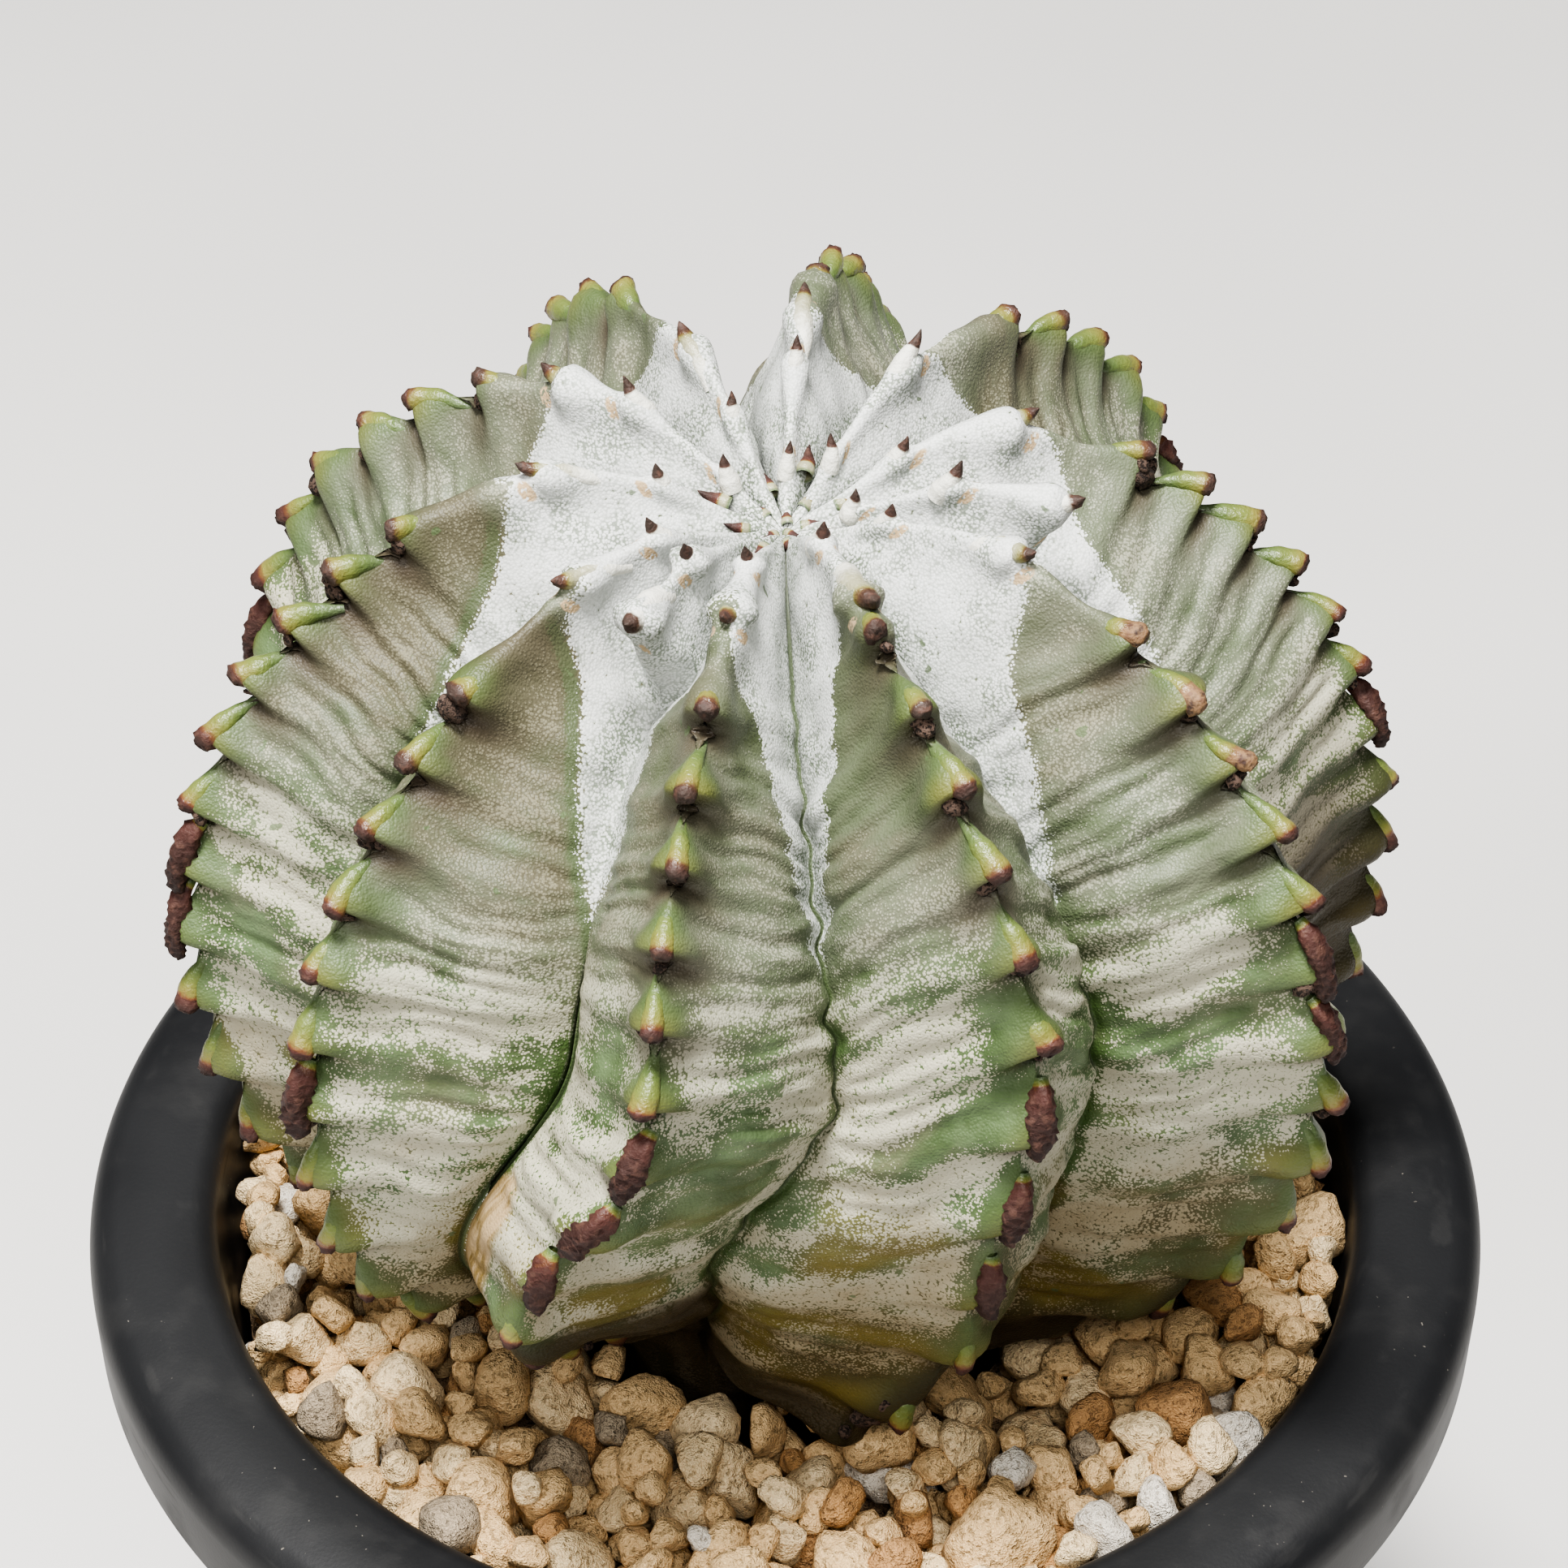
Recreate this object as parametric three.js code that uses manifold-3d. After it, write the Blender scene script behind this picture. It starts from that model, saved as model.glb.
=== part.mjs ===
// Potted milk barrel: a ribbed, globular succulent that stands in grit in a round black pot.
// Millimetres, +Z up. The origin is the centre of the pot's foot, on the surface it stands on.
// Angles are in degrees round the pot: 0 is the front (-Y), and they grow towards +X.

import * as THREE from 'three';
import { mergeVertices } from 'three/addons/utils/BufferGeometryUtils.js';
import Module from 'manifold-3d';

const wasm = await Module();
wasm.setup();

// Driving dimensions of the pot
const POT_HEIGHT = 105;
const RIM_RADIUS = 60;
const MOUTH_RADIUS = 49;
const RIM_SKIRT = 10;
const LIP_DROP = 1.6;
const FOOT_RADIUS = 40.5;
const FOOT_WIDTH = 4;
const FLOOR_UNDERSIDE = 3;
const FLOOR_TOP = 5.5;
const FLOOR_RADIUS = 38.6;
const POT_SIDES = 48;
const DRAIN_HOLES = 6;
const DRAIN_HOLE_RADIUS = 3.2;
const DRAIN_HOLE_SIDES = 12;
const DRAIN_CIRCLE = 23;
const FOOT_NOTCHES = 4;
const FOOT_NOTCH_WIDTH = 9;
const FOOT_NOTCH_HEIGHT = 2;

// Driving dimensions of the fill
const SEAT_GAP = 0.35;
const BED_BELOW_RIM = 4.4;
const DRAINAGE_DEPTH = 15;
const GRAIN = 4.3;
const GRAIN_RISE = 1.3;
const STONE = 9;
const STONE_RISE = 1.6;
// How far the outermost and innermost grains stay from the pot's wall and from the neck's hole.
const WALL_MARGIN = 1.2;
const HOLE_MARGIN = 0.6;
const HOLE_SIDES = 36;

// Driving dimensions of the plant, with heights measured from the pot's rim.
// Two outlines give the body, as [radius, height] from the crown down to the soil: the ridge line
// of a mean rib, without its teeth, and the bottom of a mean furrow.
const RIDGE_LINE = [
  [2.6, 70.3], [14.2, 75.2], [23.6, 73.7], [31.0, 70.6], [37.0, 65.8], [42.8, 59.0],
  [46.5, 49.6], [48.1, 38.1], [45.9, 24.3], [38.8, 9.2], [27.0, -1.7],
];
const FURROW_LINE = [
  [1.2, 69.3], [8.6, 66.8], [15.6, 63.9], [22.2, 60.4], [28.3, 56.2], [32.8, 51.0],
  [35.2, 44.0], [35.5, 34.5], [33.0, 22.5], [27.8, 9.2], [22.2, -2.5],
];
// The round neck and taproot below the ribs, as [radius, height].
const NECK_LINE = [[21.3, -3.4], [20.8, -8], [17, -22], [10, -36]];
const CROWN_HEIGHT = 68.8;
const ROOT_TIP = -40;

// The ribs in order round the plant. turn: where the ridge stands. lean: how far it drifts
// sideways from crown to soil. swing: how far its foot curls aside. reach: its radius against
// the mean. lift: extra height at mid rib, mm. tuck: how far its foot is drawn up from the soil, mm.
// teeth: where they start and how far apart they stand, in mean tooth spacings. crown: where the
// small, crowded teeth of the crown stand (0 is the crown's centre, 1 the soil). ends: where a short
// rib dies out. shift: how far the furrow after the rib stands aside of the middle, at mid height
// and at the soil. fill: how much that furrow fills at the soil. toe: how far the end of the foot
// curls aside, in degrees, and spreads out over the soil, mm.
const RIBS = [
  {
    turn: -12.3, lean: -1.2, swing: -15.1, lift: 1.3, tuck: 8,
    teeth: [0.8, 1.0], crown: [0.09, 0.148], shift: [0, -8],
  },
  {
    turn: 20.9, lean: 22.1, swing: -8.8, reach: 0.91, lift: 5.1, tuck: -0.6,
    teeth: [0.1, 1.18], crown: [0.088, 0.174, 0.213], toe: [-16, 5],
  },
  { turn: 55.2, lean: -5.7, swing: 4.1, reach: 1.05, lift: 0.7, teeth: [0.1, 1.0], crown: [0.06, 0.151] },
  { turn: 80.0, teeth: [0.2, 0.57], crown: [0.033, 0.09, 0.17], ends: 0.22 },
  {
    turn: 102.4, lean: -32.7, swing: 2.1, reach: 1.01, lift: -3.1,
    teeth: [0.4, 0.86], crown: [0.065, 0.142],
  },
  {
    turn: 139.5, lean: -12.5, swing: 1.0, reach: 1.01, lift: 0.6,
    teeth: [0.7, 1.08], crown: [0.04, 0.117],
  },
  { turn: 172.1, lean: -14.8, reach: 1.01, lift: 1.3, teeth: [0.4, 1.08], crown: [0.03, 0.092, 0.15] },
  { turn: 207.8, lean: 5.3, lift: 0.9, teeth: [0.9, 1.08], crown: [0.064, 0.12] },
  { turn: 242.0, lean: 17.3, reach: 0.99, lift: 0.2, teeth: [0.7, 1.05], crown: [0.035, 0.101, 0.16] },
  {
    turn: 279.0, lean: 26.1, swing: -1.3, reach: 1.02, lift: -1.0, tuck: 4,
    teeth: [0.3, 0.91], crown: [0.064, 0.137],
  },
  {
    turn: 310.6, lean: 4.7, swing: 1.2, reach: 1.02, lift: -2.2, tuck: 7,
    teeth: [0.3, 1.0], crown: [0.085, 0.154], shift: [4, -3], fill: 0.45,
  },
  {
    turn: 329.0, tuck: 7, teeth: [0.85, 0.55], crown: [0.1, 0.169],
    ends: 0.23, shift: [4, -3], fill: 0.45,
  },
].map((rib) => ({
  lean: 0, swing: 0, reach: 1, lift: 0, tuck: 0, shift: [0, 0], fill: 0, toe: [0, 0], ends: 2, ...rib,
}));
// The stretches between crown (0) and soil (1) over which those changes come in.
const LEAN_CENTRE = 0.4;
const SWING_SPAN = [0.6, 0.85];
const TUCK_SPAN = [0.8, 0.97];
const SHIFT_SPAN = [0.25, 0.45];
const FILL_SPAN = [0.55, 0.85];
const TOE_SPAN = [0.88, 1];
const FADE_LENGTH = 0.06;
const FADED_WIDTH = 0.08;
const JOIN_LENGTH = 0.3;
// Ribs this many degrees apart have a furrow of full depth between them.
const FULL_GAP = 34;
const FLANK_BULGE = 0.06;
const BODY_ROWS = 35;
// Stations across one flank, from the furrow (0) to the ridge (1), and how much of the ripple that
// each tooth sends down the flank shows there.
const FLANK_STATIONS = [0, 0.42, 0.87];
const FLANK_RIPPLE = [0, 0.4, 0.35];
// The ridge rises to each tooth and drops to a notch this far on towards the next tooth, mm and
// share of a tooth spacing. Both die out over a stretch above the soil.
const CREST_RISE = 0.55;
const NOTCH_DROP = 0.75;
const NOTCH_PLACE = 0.32;
const RELIEF_END = [0.84, 0.93];
// The heading of a ridge is taken between two points this far before and behind.
const HEADING_SPAN = 0.01;
// Each tooth is a short finger that runs down the ridge and turns its tip out of it. Its root, its
// thickest place and its tip, as [along the ridge, above the ridge], with its size there, mm.
const TOOTH_ROOT = [-4.4, -1.8];
const TOOTH_MIDDLE = [-0.2, 0.1];
const TOOTH_HALF_WIDTH = 1.7;
const TOOTH_HEIGHT = 1.5;
const TOOTH_SUNK = 2.4;
const TOOTH_TIP = [1.8, 2.6];
// Teeth are half size at the crown and full size on the shoulder.
const CROWN_TOOTH_SCALE = 0.5;
const TOOTH_GROWTH = [0.05, 0.2];
const AFTER_CROWN = 0.045;
const BEFORE_END = 0.02;
const LAST_TOOTH = 0.97;
// Teeth stand an even TOOTH_SPACING apart, plus a wider spread of CROWN_SPREAD over the first ones.
const TOOTH_START = -0.085;
const TOOTH_SPACING = 0.053;
const CROWN_SPREAD = 0.27;
const CROWN_SPREAD_TEETH = 2.6;

// Helpers for angles, chance and outlines
const { lerp, smoothstep } = THREE.MathUtils;
const FULL_TURN = 2 * Math.PI;

function polar(radius, angle, height) {
  const a = THREE.MathUtils.degToRad(angle);
  return new THREE.Vector3(radius * Math.sin(a), -radius * Math.cos(a), height);
}

function seededRandom(seed) {
  let state = seed;
  return () => {
    state = (state * 1664525 + 1013904223) % 4294967296;
    return state / 4294967296;
  };
}

function outline(points) {
  return new THREE.SplineCurve(points.map(([r, z]) => new THREE.Vector2(r, z)));
}

// A ring is a closed loop of points round the axis. turn shifts its first point by that fraction
// of a full turn, so that rings with different counts still pair up.
function ring(count, turn, pointAt) {
  const points = [];
  for (let i = 0; i < count; i += 1) {
    points.push(pointAt(i, 360 * ((i + turn * count) / count)));
  }
  return { turn, points };
}

function roundRing(count, radius, height) {
  return ring(count, 0, (i, angle) => polar(radius, angle, height));
}

// Closes a chain of rings into one skin, with a pole at each end. The rings run from the top
// outwards and down, or along any other path that keeps the solid on the same side.
function ringSkin(startPole, rings, endPole) {
  const points = [startPole];
  const triangles = [];
  const starts = rings.map(({ points: loop }) => {
    const start = points.length;
    points.push(...loop);
    return start;
  });
  points.push(endPole);
  const last = points.length - 1;
  const at = (k, i) => starts[k] + (i % rings[k].points.length);

  rings[0].points.forEach((_, i) => triangles.push(0, at(0, i), at(0, i + 1)));
  for (let k = 0; k + 1 < rings.length; k += 1) {
    const a = { n: rings[k].points.length, turn: rings[k].turn };
    const b = { n: rings[k + 1].points.length, turn: rings[k + 1].turn };
    let i = 0;
    let j = 0;
    while (i < a.n || j < b.n) {
      const nextA = (i + 1) / a.n + a.turn;
      const nextB = (j + 1) / b.n + b.turn;
      if (j >= b.n || (i < a.n && nextA < nextB)) {
        triangles.push(at(k, i), at(k + 1, j), at(k, i + 1));
        i += 1;
      } else {
        triangles.push(at(k, i), at(k + 1, j), at(k + 1, j + 1));
        j += 1;
      }
    }
  }
  const end = rings.length - 1;
  rings[end].points.forEach((_, i) => triangles.push(at(end, i), last, at(end, i + 1)));

  const geometry = new THREE.BufferGeometry();
  geometry.setAttribute('position', new THREE.Float32BufferAttribute(points.flatMap((p) => p.toArray()), 3));
  geometry.setIndex(triangles);
  return geometry;
}

function toSolid(geometry) {
  const bare = geometry.clone();
  bare.deleteAttribute('normal');
  bare.deleteAttribute('uv');
  const merged = mergeVertices(bare);
  return new wasm.Manifold(new wasm.Mesh({
    numProp: 3,
    vertProperties: new Float32Array(merged.attributes.position.array),
    triVerts: new Uint32Array(merged.index.array),
  }));
}

function fromSolid(solid) {
  const mesh = solid.getMesh();
  const geometry = new THREE.BufferGeometry();
  geometry.setAttribute('position', new THREE.BufferAttribute(new Float32Array(mesh.vertProperties), 3));
  geometry.setIndex(new THREE.BufferAttribute(new Uint32Array(mesh.triVerts), 1));
  geometry.computeVertexNormals();
  return geometry;
}

// Pot: one moulded shell, turned about its axis, with a domed rim and a skirt round its edge
function innerWallRadius(z) {
  return lerp(FLOOR_RADIUS, MOUTH_RADIUS, (z - FLOOR_TOP) / (POT_HEIGHT - LIP_DROP - FLOOR_TOP));
}

function potGeometry() {
  const h = POT_HEIGHT;
  const profile = [
    [0, FLOOR_UNDERSIDE],
    [FOOT_RADIUS - FOOT_WIDTH - 0.5, FLOOR_UNDERSIDE],
    [FOOT_RADIUS - FOOT_WIDTH, 0],
    [FOOT_RADIUS, 0],
    [FOOT_RADIUS + 0.8, 3],
    [MOUTH_RADIUS + 2.4, h - 6],
    [MOUTH_RADIUS + 3.4, h - 3.6],
    [RIM_RADIUS - 2.4, h - 4.4],
    [RIM_RADIUS - 2, h - RIM_SKIRT],
    [RIM_RADIUS - 0.2, h - RIM_SKIRT],
    [RIM_RADIUS, h - 3.2],
    [RIM_RADIUS - 0.5, h - 1.7],
    [RIM_RADIUS - 1.9, h - 0.6],
    [RIM_RADIUS - 5.5, h],
    [MOUTH_RADIUS + 1.3, h - 0.4],
    [MOUTH_RADIUS, h - LIP_DROP],
    [FLOOR_RADIUS, FLOOR_TOP],
    [0, FLOOR_TOP],
  ].map(([r, z]) => new THREE.Vector2(r, z));
  const shell = new THREE.LatheGeometry(profile, POT_SIDES);
  shell.rotateX(Math.PI / 2);
  let pot = toSolid(shell);

  for (let i = 0; i < DRAIN_HOLES; i += 1) {
    const hole = new THREE.CylinderGeometry(
      DRAIN_HOLE_RADIUS,
      DRAIN_HOLE_RADIUS,
      3 * FLOOR_TOP,
      DRAIN_HOLE_SIDES,
    );
    hole.rotateX(Math.PI / 2);
    hole.translate(...polar(DRAIN_CIRCLE, (360 * i) / DRAIN_HOLES, FLOOR_UNDERSIDE));
    pot = pot.subtract(toSolid(hole));
  }
  for (let i = 0; i < FOOT_NOTCHES; i += 1) {
    const notch = new THREE.BoxGeometry(FOOT_NOTCH_WIDTH, 4 * FOOT_WIDTH, 2 * FOOT_NOTCH_HEIGHT);
    notch.translate(0, -FOOT_RADIUS, 0);
    notch.rotateZ(FULL_TURN * ((i + 0.5) / FOOT_NOTCHES));
    pot = pot.subtract(toSolid(notch));
  }
  return fromSolid(pot);
}

// Loose fill: rings of grains with low joints between them, as the relief of a packed surface
function grainRings(inner, outer, grain, rise, level, random) {
  const rings = [];
  const low = () => level - rise * lerp(0.5, 0.9, random());
  const rows = Math.floor((outer - inner) / grain);
  const step = (outer - inner) / rows;
  for (let row = 0; row < rows; row += 1) {
    const radius = inner + (row + 0.55) * step;
    const count = Math.round((FULL_TURN * radius) / (grain * 1.05));
    const turn = random() / count;
    const joint = radius - 0.5 * step;
    rings.push(ring(count, turn + 0.25 / count, (i, angle) => polar(joint, angle, low())));
    rings.push(ring(2 * count, turn, (i, angle) => {
      const shift = step * 0.18 * (random() - 0.5);
      const height = i % 2 === 0 ? level + rise * lerp(0.4, 1, random()) : low();
      return polar(radius + shift, angle, height);
    }));
  }
  return rings;
}

function liftRing({ turn, points }, lift) {
  return { turn, points: points.map((p) => p.clone().setZ(p.z + lift)) };
}

const drainageTop = FLOOR_TOP + SEAT_GAP + DRAINAGE_DEPTH;
const drainageRings = grainRings(
  STONE / 3,
  innerWallRadius(drainageTop) - STONE / 3,
  STONE,
  STONE_RISE,
  drainageTop,
  seededRandom(7),
);
const drainagePole = new THREE.Vector3(0, 0, drainageTop + STONE_RISE / 2);

function drainageStonesGeometry() {
  const bottom = FLOOR_TOP + SEAT_GAP;
  const rings = [
    ...drainageRings,
    roundRing(POT_SIDES, innerWallRadius(drainageTop) - SEAT_GAP, drainageTop - STONE_RISE),
    roundRing(POT_SIDES, innerWallRadius(bottom) - SEAT_GAP, bottom),
  ];
  return ringSkin(drainagePole, rings, new THREE.Vector3(0, 0, bottom));
}

function granuleBedGeometry() {
  const level = POT_HEIGHT - BED_BELOW_RIM;
  const hole = NECK_LINE.map(([r, z]) => roundRing(HOLE_SIDES, r + SEAT_GAP, POT_HEIGHT + z - SEAT_GAP));
  const holeRadius = NECK_LINE[0][0] + SEAT_GAP;
  const wallTop = level - GRAIN_RISE;
  const wallFoot = drainageTop - STONE_RISE + SEAT_GAP;
  const rings = [
    ...hole.reverse(),
    ...grainRings(
      holeRadius + HOLE_MARGIN,
      MOUTH_RADIUS - WALL_MARGIN,
      GRAIN,
      GRAIN_RISE,
      level,
      seededRandom(21),
    ),
    roundRing(POT_SIDES, innerWallRadius(wallTop) - SEAT_GAP, wallTop),
    roundRing(POT_SIDES, innerWallRadius(wallFoot) - SEAT_GAP, wallFoot),
    ...drainageRings.map((r) => liftRing(r, SEAT_GAP)).reverse(),
  ];
  const holeFoot = new THREE.Vector3(0, 0, POT_HEIGHT + ROOT_TIP - SEAT_GAP);
  const underside = drainagePole.clone().setZ(drainagePole.z + SEAT_GAP);
  return ringSkin(holeFoot, rings, underside);
}

// Plant: where each ridge and furrow runs, from the crown (t = 0) to the soil (t = 1)
const ridgeLine = outline(RIDGE_LINE);
const furrowLine = outline(FURROW_LINE);
const wrap = (i) => (i + RIBS.length) % RIBS.length;

function ribStrength(i, t) {
  const { ends } = RIBS[wrap(i)];
  return lerp(1, FADED_WIDTH, smoothstep(t, ends - FADE_LENGTH, ends));
}

function ribAngle(i, t) {
  const rib = RIBS[wrap(i)];
  const lap = 360 * Math.floor(i / RIBS.length);
  const curl = rib.swing * smoothstep(t, ...SWING_SPAN) + rib.toe[0] * smoothstep(t, ...TOE_SPAN);
  const own = lap + rib.turn + rib.lean * (t - LEAN_CENTRE) + curl;
  if (rib.ends > 1) {
    return own;
  }
  const between = (ribAngle(i - 1, t) + ribAngle(i + 1, t)) / 2;
  return lerp(own, between, smoothstep(t, rib.ends, rib.ends + JOIN_LENGTH));
}

function footTuck(tuck, t) {
  return tuck * smoothstep(t, ...TUCK_SPAN);
}

function fullRidge(i, t) {
  const { reach, lift, tuck, toe } = RIBS[wrap(i)];
  const p = ridgeLine.getPoint(t);
  const radius = p.x * reach + toe[1] * smoothstep(t, ...TOE_SPAN);
  return new THREE.Vector2(radius, p.y + lift * Math.sin(Math.PI * t) + footTuck(tuck, t));
}

// The furrow between rib i and the next one
function furrow(i, t) {
  const { shift, fill, tuck } = RIBS[wrap(i)];
  const tuckAfter = RIBS[wrap(i + 1)].tuck;
  const here = ribStrength(i, t);
  const next = ribStrength(i + 1, t);
  const a = ribAngle(i, t);
  const b = ribAngle(i + 1, t);
  const gap = b - a
    + (1 - next) * (ribAngle(i + 2, t) - b)
    + (1 - here) * (a - ribAngle(i - 1, t));
  const depth = Math.sqrt(Math.min(1, gap / FULL_GAP)) * (1 - fill * smoothstep(t, ...FILL_SPAN));
  const aside = lerp(shift[0] * smoothstep(t, ...SHIFT_SPAN), shift[1], smoothstep(t, ...SWING_SPAN));
  const crests = fullRidge(i, t).add(fullRidge(i + 1, t)).multiplyScalar(0.5);
  const bottom = furrowLine.getPoint(t);
  bottom.y += footTuck((tuck + tuckAfter) / 2, t);
  return {
    angle: a + (b - a) * (here / (here + next)) + aside,
    line: crests.lerp(bottom, depth),
  };
}

function ridge(i, t) {
  const low = furrow(i, t).line.add(furrow(i - 1, t).line).multiplyScalar(0.5);
  const kept = RIBS[wrap(i)].ends > 1 ? 1 : ribStrength(i, t);
  return { angle: ribAngle(i, t), line: low.lerp(fullRidge(i, t), kept) };
}

// A point on the flank that climbs from a furrow (s = 0) to its ridge (s = 1). The flank swells
// next to the furrow and thins towards the ridge.
function flankPoint(low, high, s) {
  const climb = s + FLANK_BULGE * Math.sin(FULL_TURN * s);
  const line = low.line.clone().lerp(high.line, climb);
  return polar(line.x, lerp(low.angle, high.angle, s), POT_HEIGHT + line.y);
}

// How far down the ridge a tooth stands: wide apart at the crown, then evenly spaced
function toothStation(count) {
  const spread = CROWN_SPREAD * (1 - Math.exp(-count / CROWN_SPREAD_TEETH));
  return TOOTH_START + TOOTH_SPACING * count + spread;
}

function teethOf({ teeth: [first, pitch], crown, ends }) {
  const stations = [...crown];
  const start = crown.at(-1) + AFTER_CROWN;
  const end = Math.min(ends - BEFORE_END, LAST_TOOTH);
  for (let count = 1; toothStation(first + pitch * count) < end; count += 1) {
    const t = toothStation(first + pitch * count);
    if (t > start) {
      stations.push(t);
    }
  }
  return stations;
}

function toothScale(t) {
  return lerp(CROWN_TOOTH_SCALE, 1, smoothstep(t, ...TOOTH_GROWTH));
}

// The rows of points of a full rib, from crown to soil, as [t, wave]. wave is 1 where a row passes
// over a tooth and -1 where it passes through the notch behind one. A short rib has no ripples, and
// its rows run midway between those of its neighbours.
function rowsOf(rib) {
  const stations = teethOf(rib);
  const rows = [[0, 0]];
  stations.forEach((t, k) => {
    const next = stations[k + 1] ?? lerp(t, 1, 0.5);
    rows.push([t, 1], [lerp(t, next, NOTCH_PLACE), -1]);
  });
  const [last] = rows.at(-1);
  const rest = BODY_ROWS + 1 - rows.length;
  for (let k = 1; k <= rest; k += 1) {
    rows.push([lerp(last, 1, k / rest), 0]);
  }
  return rows;
}

const fullRibRows = RIBS.map((rib) => (rib.ends > 1 ? rowsOf(rib) : null));
const ribRows = fullRibRows.map((rows, i) => rows ?? fullRibRows[wrap(i - 1)].map(([t], k) => (
  [(t + fullRibRows[wrap(i + 1)][k][0]) / 2, 0]
)));

// A point of the ridge of rib i at t, and the directions along it, across it and out of it
function ridgeFrame(i, t) {
  const ridgePoint = (u) => {
    const { angle, line } = ridge(i, u);
    return polar(line.x, angle, POT_HEIGHT + line.y);
  };
  const ahead = ridgePoint(Math.min(t + HEADING_SPAN, 1));
  const along = ahead.sub(ridgePoint(Math.max(t - HEADING_SPAN, 0))).normalize();
  const side = polar(1, ribAngle(i, t) + 90, 0);
  side.addScaledVector(along, -side.dot(along)).normalize();
  return { seat: ridgePoint(t), along, side, out: new THREE.Vector3().crossVectors(along, side) };
}

function bodyRow(k) {
  const points = [];
  RIBS.forEach((_, i) => {
    const [t, wave] = ribRows[i][k];
    const [beforeT, afterT] = [i - 1, i + 1].map((j) => (ribRows[wrap(j)][k][0] + t) / 2);
    const crest = ridge(i, t);
    const { side, out } = ridgeFrame(i, t);
    const swell = wave * toothScale(t) * (1 - smoothstep(t, ...RELIEF_END));
    const crestRelief = swell * (wave > 0 ? CREST_RISE : NOTCH_DROP);
    const flank = (low, sign) => FLANK_STATIONS.map((s, n) => (
      flankPoint(low, crest, s).addScaledVector(side, sign * swell * FLANK_RIPPLE[n])
    ));
    points.push(...flank(furrow(i - 1, beforeT), -1));
    points.push(flankPoint(crest, crest, 1).addScaledVector(out, crestRelief));
    points.push(...flank(furrow(i, afterT), 1).slice(1).reverse());
  });
  return { turn: 0, points };
}

// One tooth, as a four-sided finger that grows out of the ridge of rib i at t
function tooth(i, t) {
  const { seat, along, side, out } = ridgeFrame(i, t);
  const size = toothScale(t);
  const place = (x, y, z) => seat.clone()
    .addScaledVector(along, x * size)
    .addScaledVector(side, y * size)
    .addScaledVector(out, z * size);

  const [x, z] = TOOTH_MIDDLE;
  const middle = [
    place(x, -TOOTH_HALF_WIDTH, z),
    place(x, 0, z + TOOTH_HEIGHT),
    place(x, TOOTH_HALF_WIDTH, z),
    place(x, 0, z - TOOTH_SUNK),
  ];
  const root = place(TOOTH_ROOT[0], 0, TOOTH_ROOT[1]);
  const tip = place(TOOTH_TIP[0], 0, TOOTH_TIP[1]);
  return ringSkin(root, [{ turn: 0, points: middle }], tip);
}

function plantGeometry() {
  const rows = [];
  for (let k = 0; k <= BODY_ROWS; k += 1) {
    rows.push(bodyRow(k));
  }
  const columns = rows[0].points.length;
  const firstAngle = furrow(-1, 1).angle;
  const neck = NECK_LINE.map(([r, z]) => (
    ring(columns, 0, (i, angle) => polar(r, firstAngle + angle, POT_HEIGHT + z))
  ));
  const crown = new THREE.Vector3(0, 0, POT_HEIGHT + CROWN_HEIGHT);
  const tip = new THREE.Vector3(0, 0, POT_HEIGHT + ROOT_TIP);
  let plant = toSolid(ringSkin(crown, [...rows, ...neck], tip));

  RIBS.forEach((rib, i) => teethOf(rib).forEach((t) => {
    plant = plant.add(toSolid(tooth(i, t)));
  }));
  return fromSolid(plant);
}

// Assembly
function piece(name, geometry, colour, roughness) {
  const material = new THREE.MeshStandardMaterial({ color: colour, roughness, metalness: 0 });
  const mesh = new THREE.Mesh(geometry, material);
  mesh.name = name;
  return mesh;
}

const pottedMilkBarrel = new THREE.Group();
pottedMilkBarrel.name = 'potted_milk_barrel';
pottedMilkBarrel.add(
  piece('pot', potGeometry(), 0x1d1f22, 0.6),
  piece('drainage_stones', drainageStonesGeometry(), 0xb8a88c, 0.95),
  piece('granule_bed', granuleBedGeometry(), 0xb8905f, 0.95),
  piece('plant', plantGeometry(), 0xa9b39b, 0.7),
);

export default pottedMilkBarrel;
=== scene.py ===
import math

import bmesh
import bpy
import numpy as np
from mathutils import Matrix, Vector


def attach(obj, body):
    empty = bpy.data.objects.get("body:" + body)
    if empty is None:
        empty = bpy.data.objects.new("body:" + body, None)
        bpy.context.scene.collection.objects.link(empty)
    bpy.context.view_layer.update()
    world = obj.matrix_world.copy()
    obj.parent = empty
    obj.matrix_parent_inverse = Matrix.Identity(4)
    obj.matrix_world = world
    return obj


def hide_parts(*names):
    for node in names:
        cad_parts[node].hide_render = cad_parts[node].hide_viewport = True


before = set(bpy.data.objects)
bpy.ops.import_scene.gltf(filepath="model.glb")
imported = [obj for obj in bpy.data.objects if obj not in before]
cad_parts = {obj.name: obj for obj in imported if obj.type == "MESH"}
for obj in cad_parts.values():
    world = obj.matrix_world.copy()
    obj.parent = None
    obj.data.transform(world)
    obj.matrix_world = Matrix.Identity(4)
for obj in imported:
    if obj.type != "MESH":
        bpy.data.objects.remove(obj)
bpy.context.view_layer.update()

# The view: the part stands on a plain pale floor under soft, even light, and the camera looks
# down on it from the front at the angle of the photograph.
scene = bpy.context.scene

camera = bpy.data.objects.new("camera", bpy.data.cameras.new("camera"))
camera.location = (-0.0001, -0.2903, 0.3991)
camera.rotation_euler = (math.radians(49.185), 0, 0)
camera.data.lens = 109.63
camera.data.sensor_width = 36
camera.data.clip_start = 0.01
scene.collection.objects.link(camera)
scene.camera = camera


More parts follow.
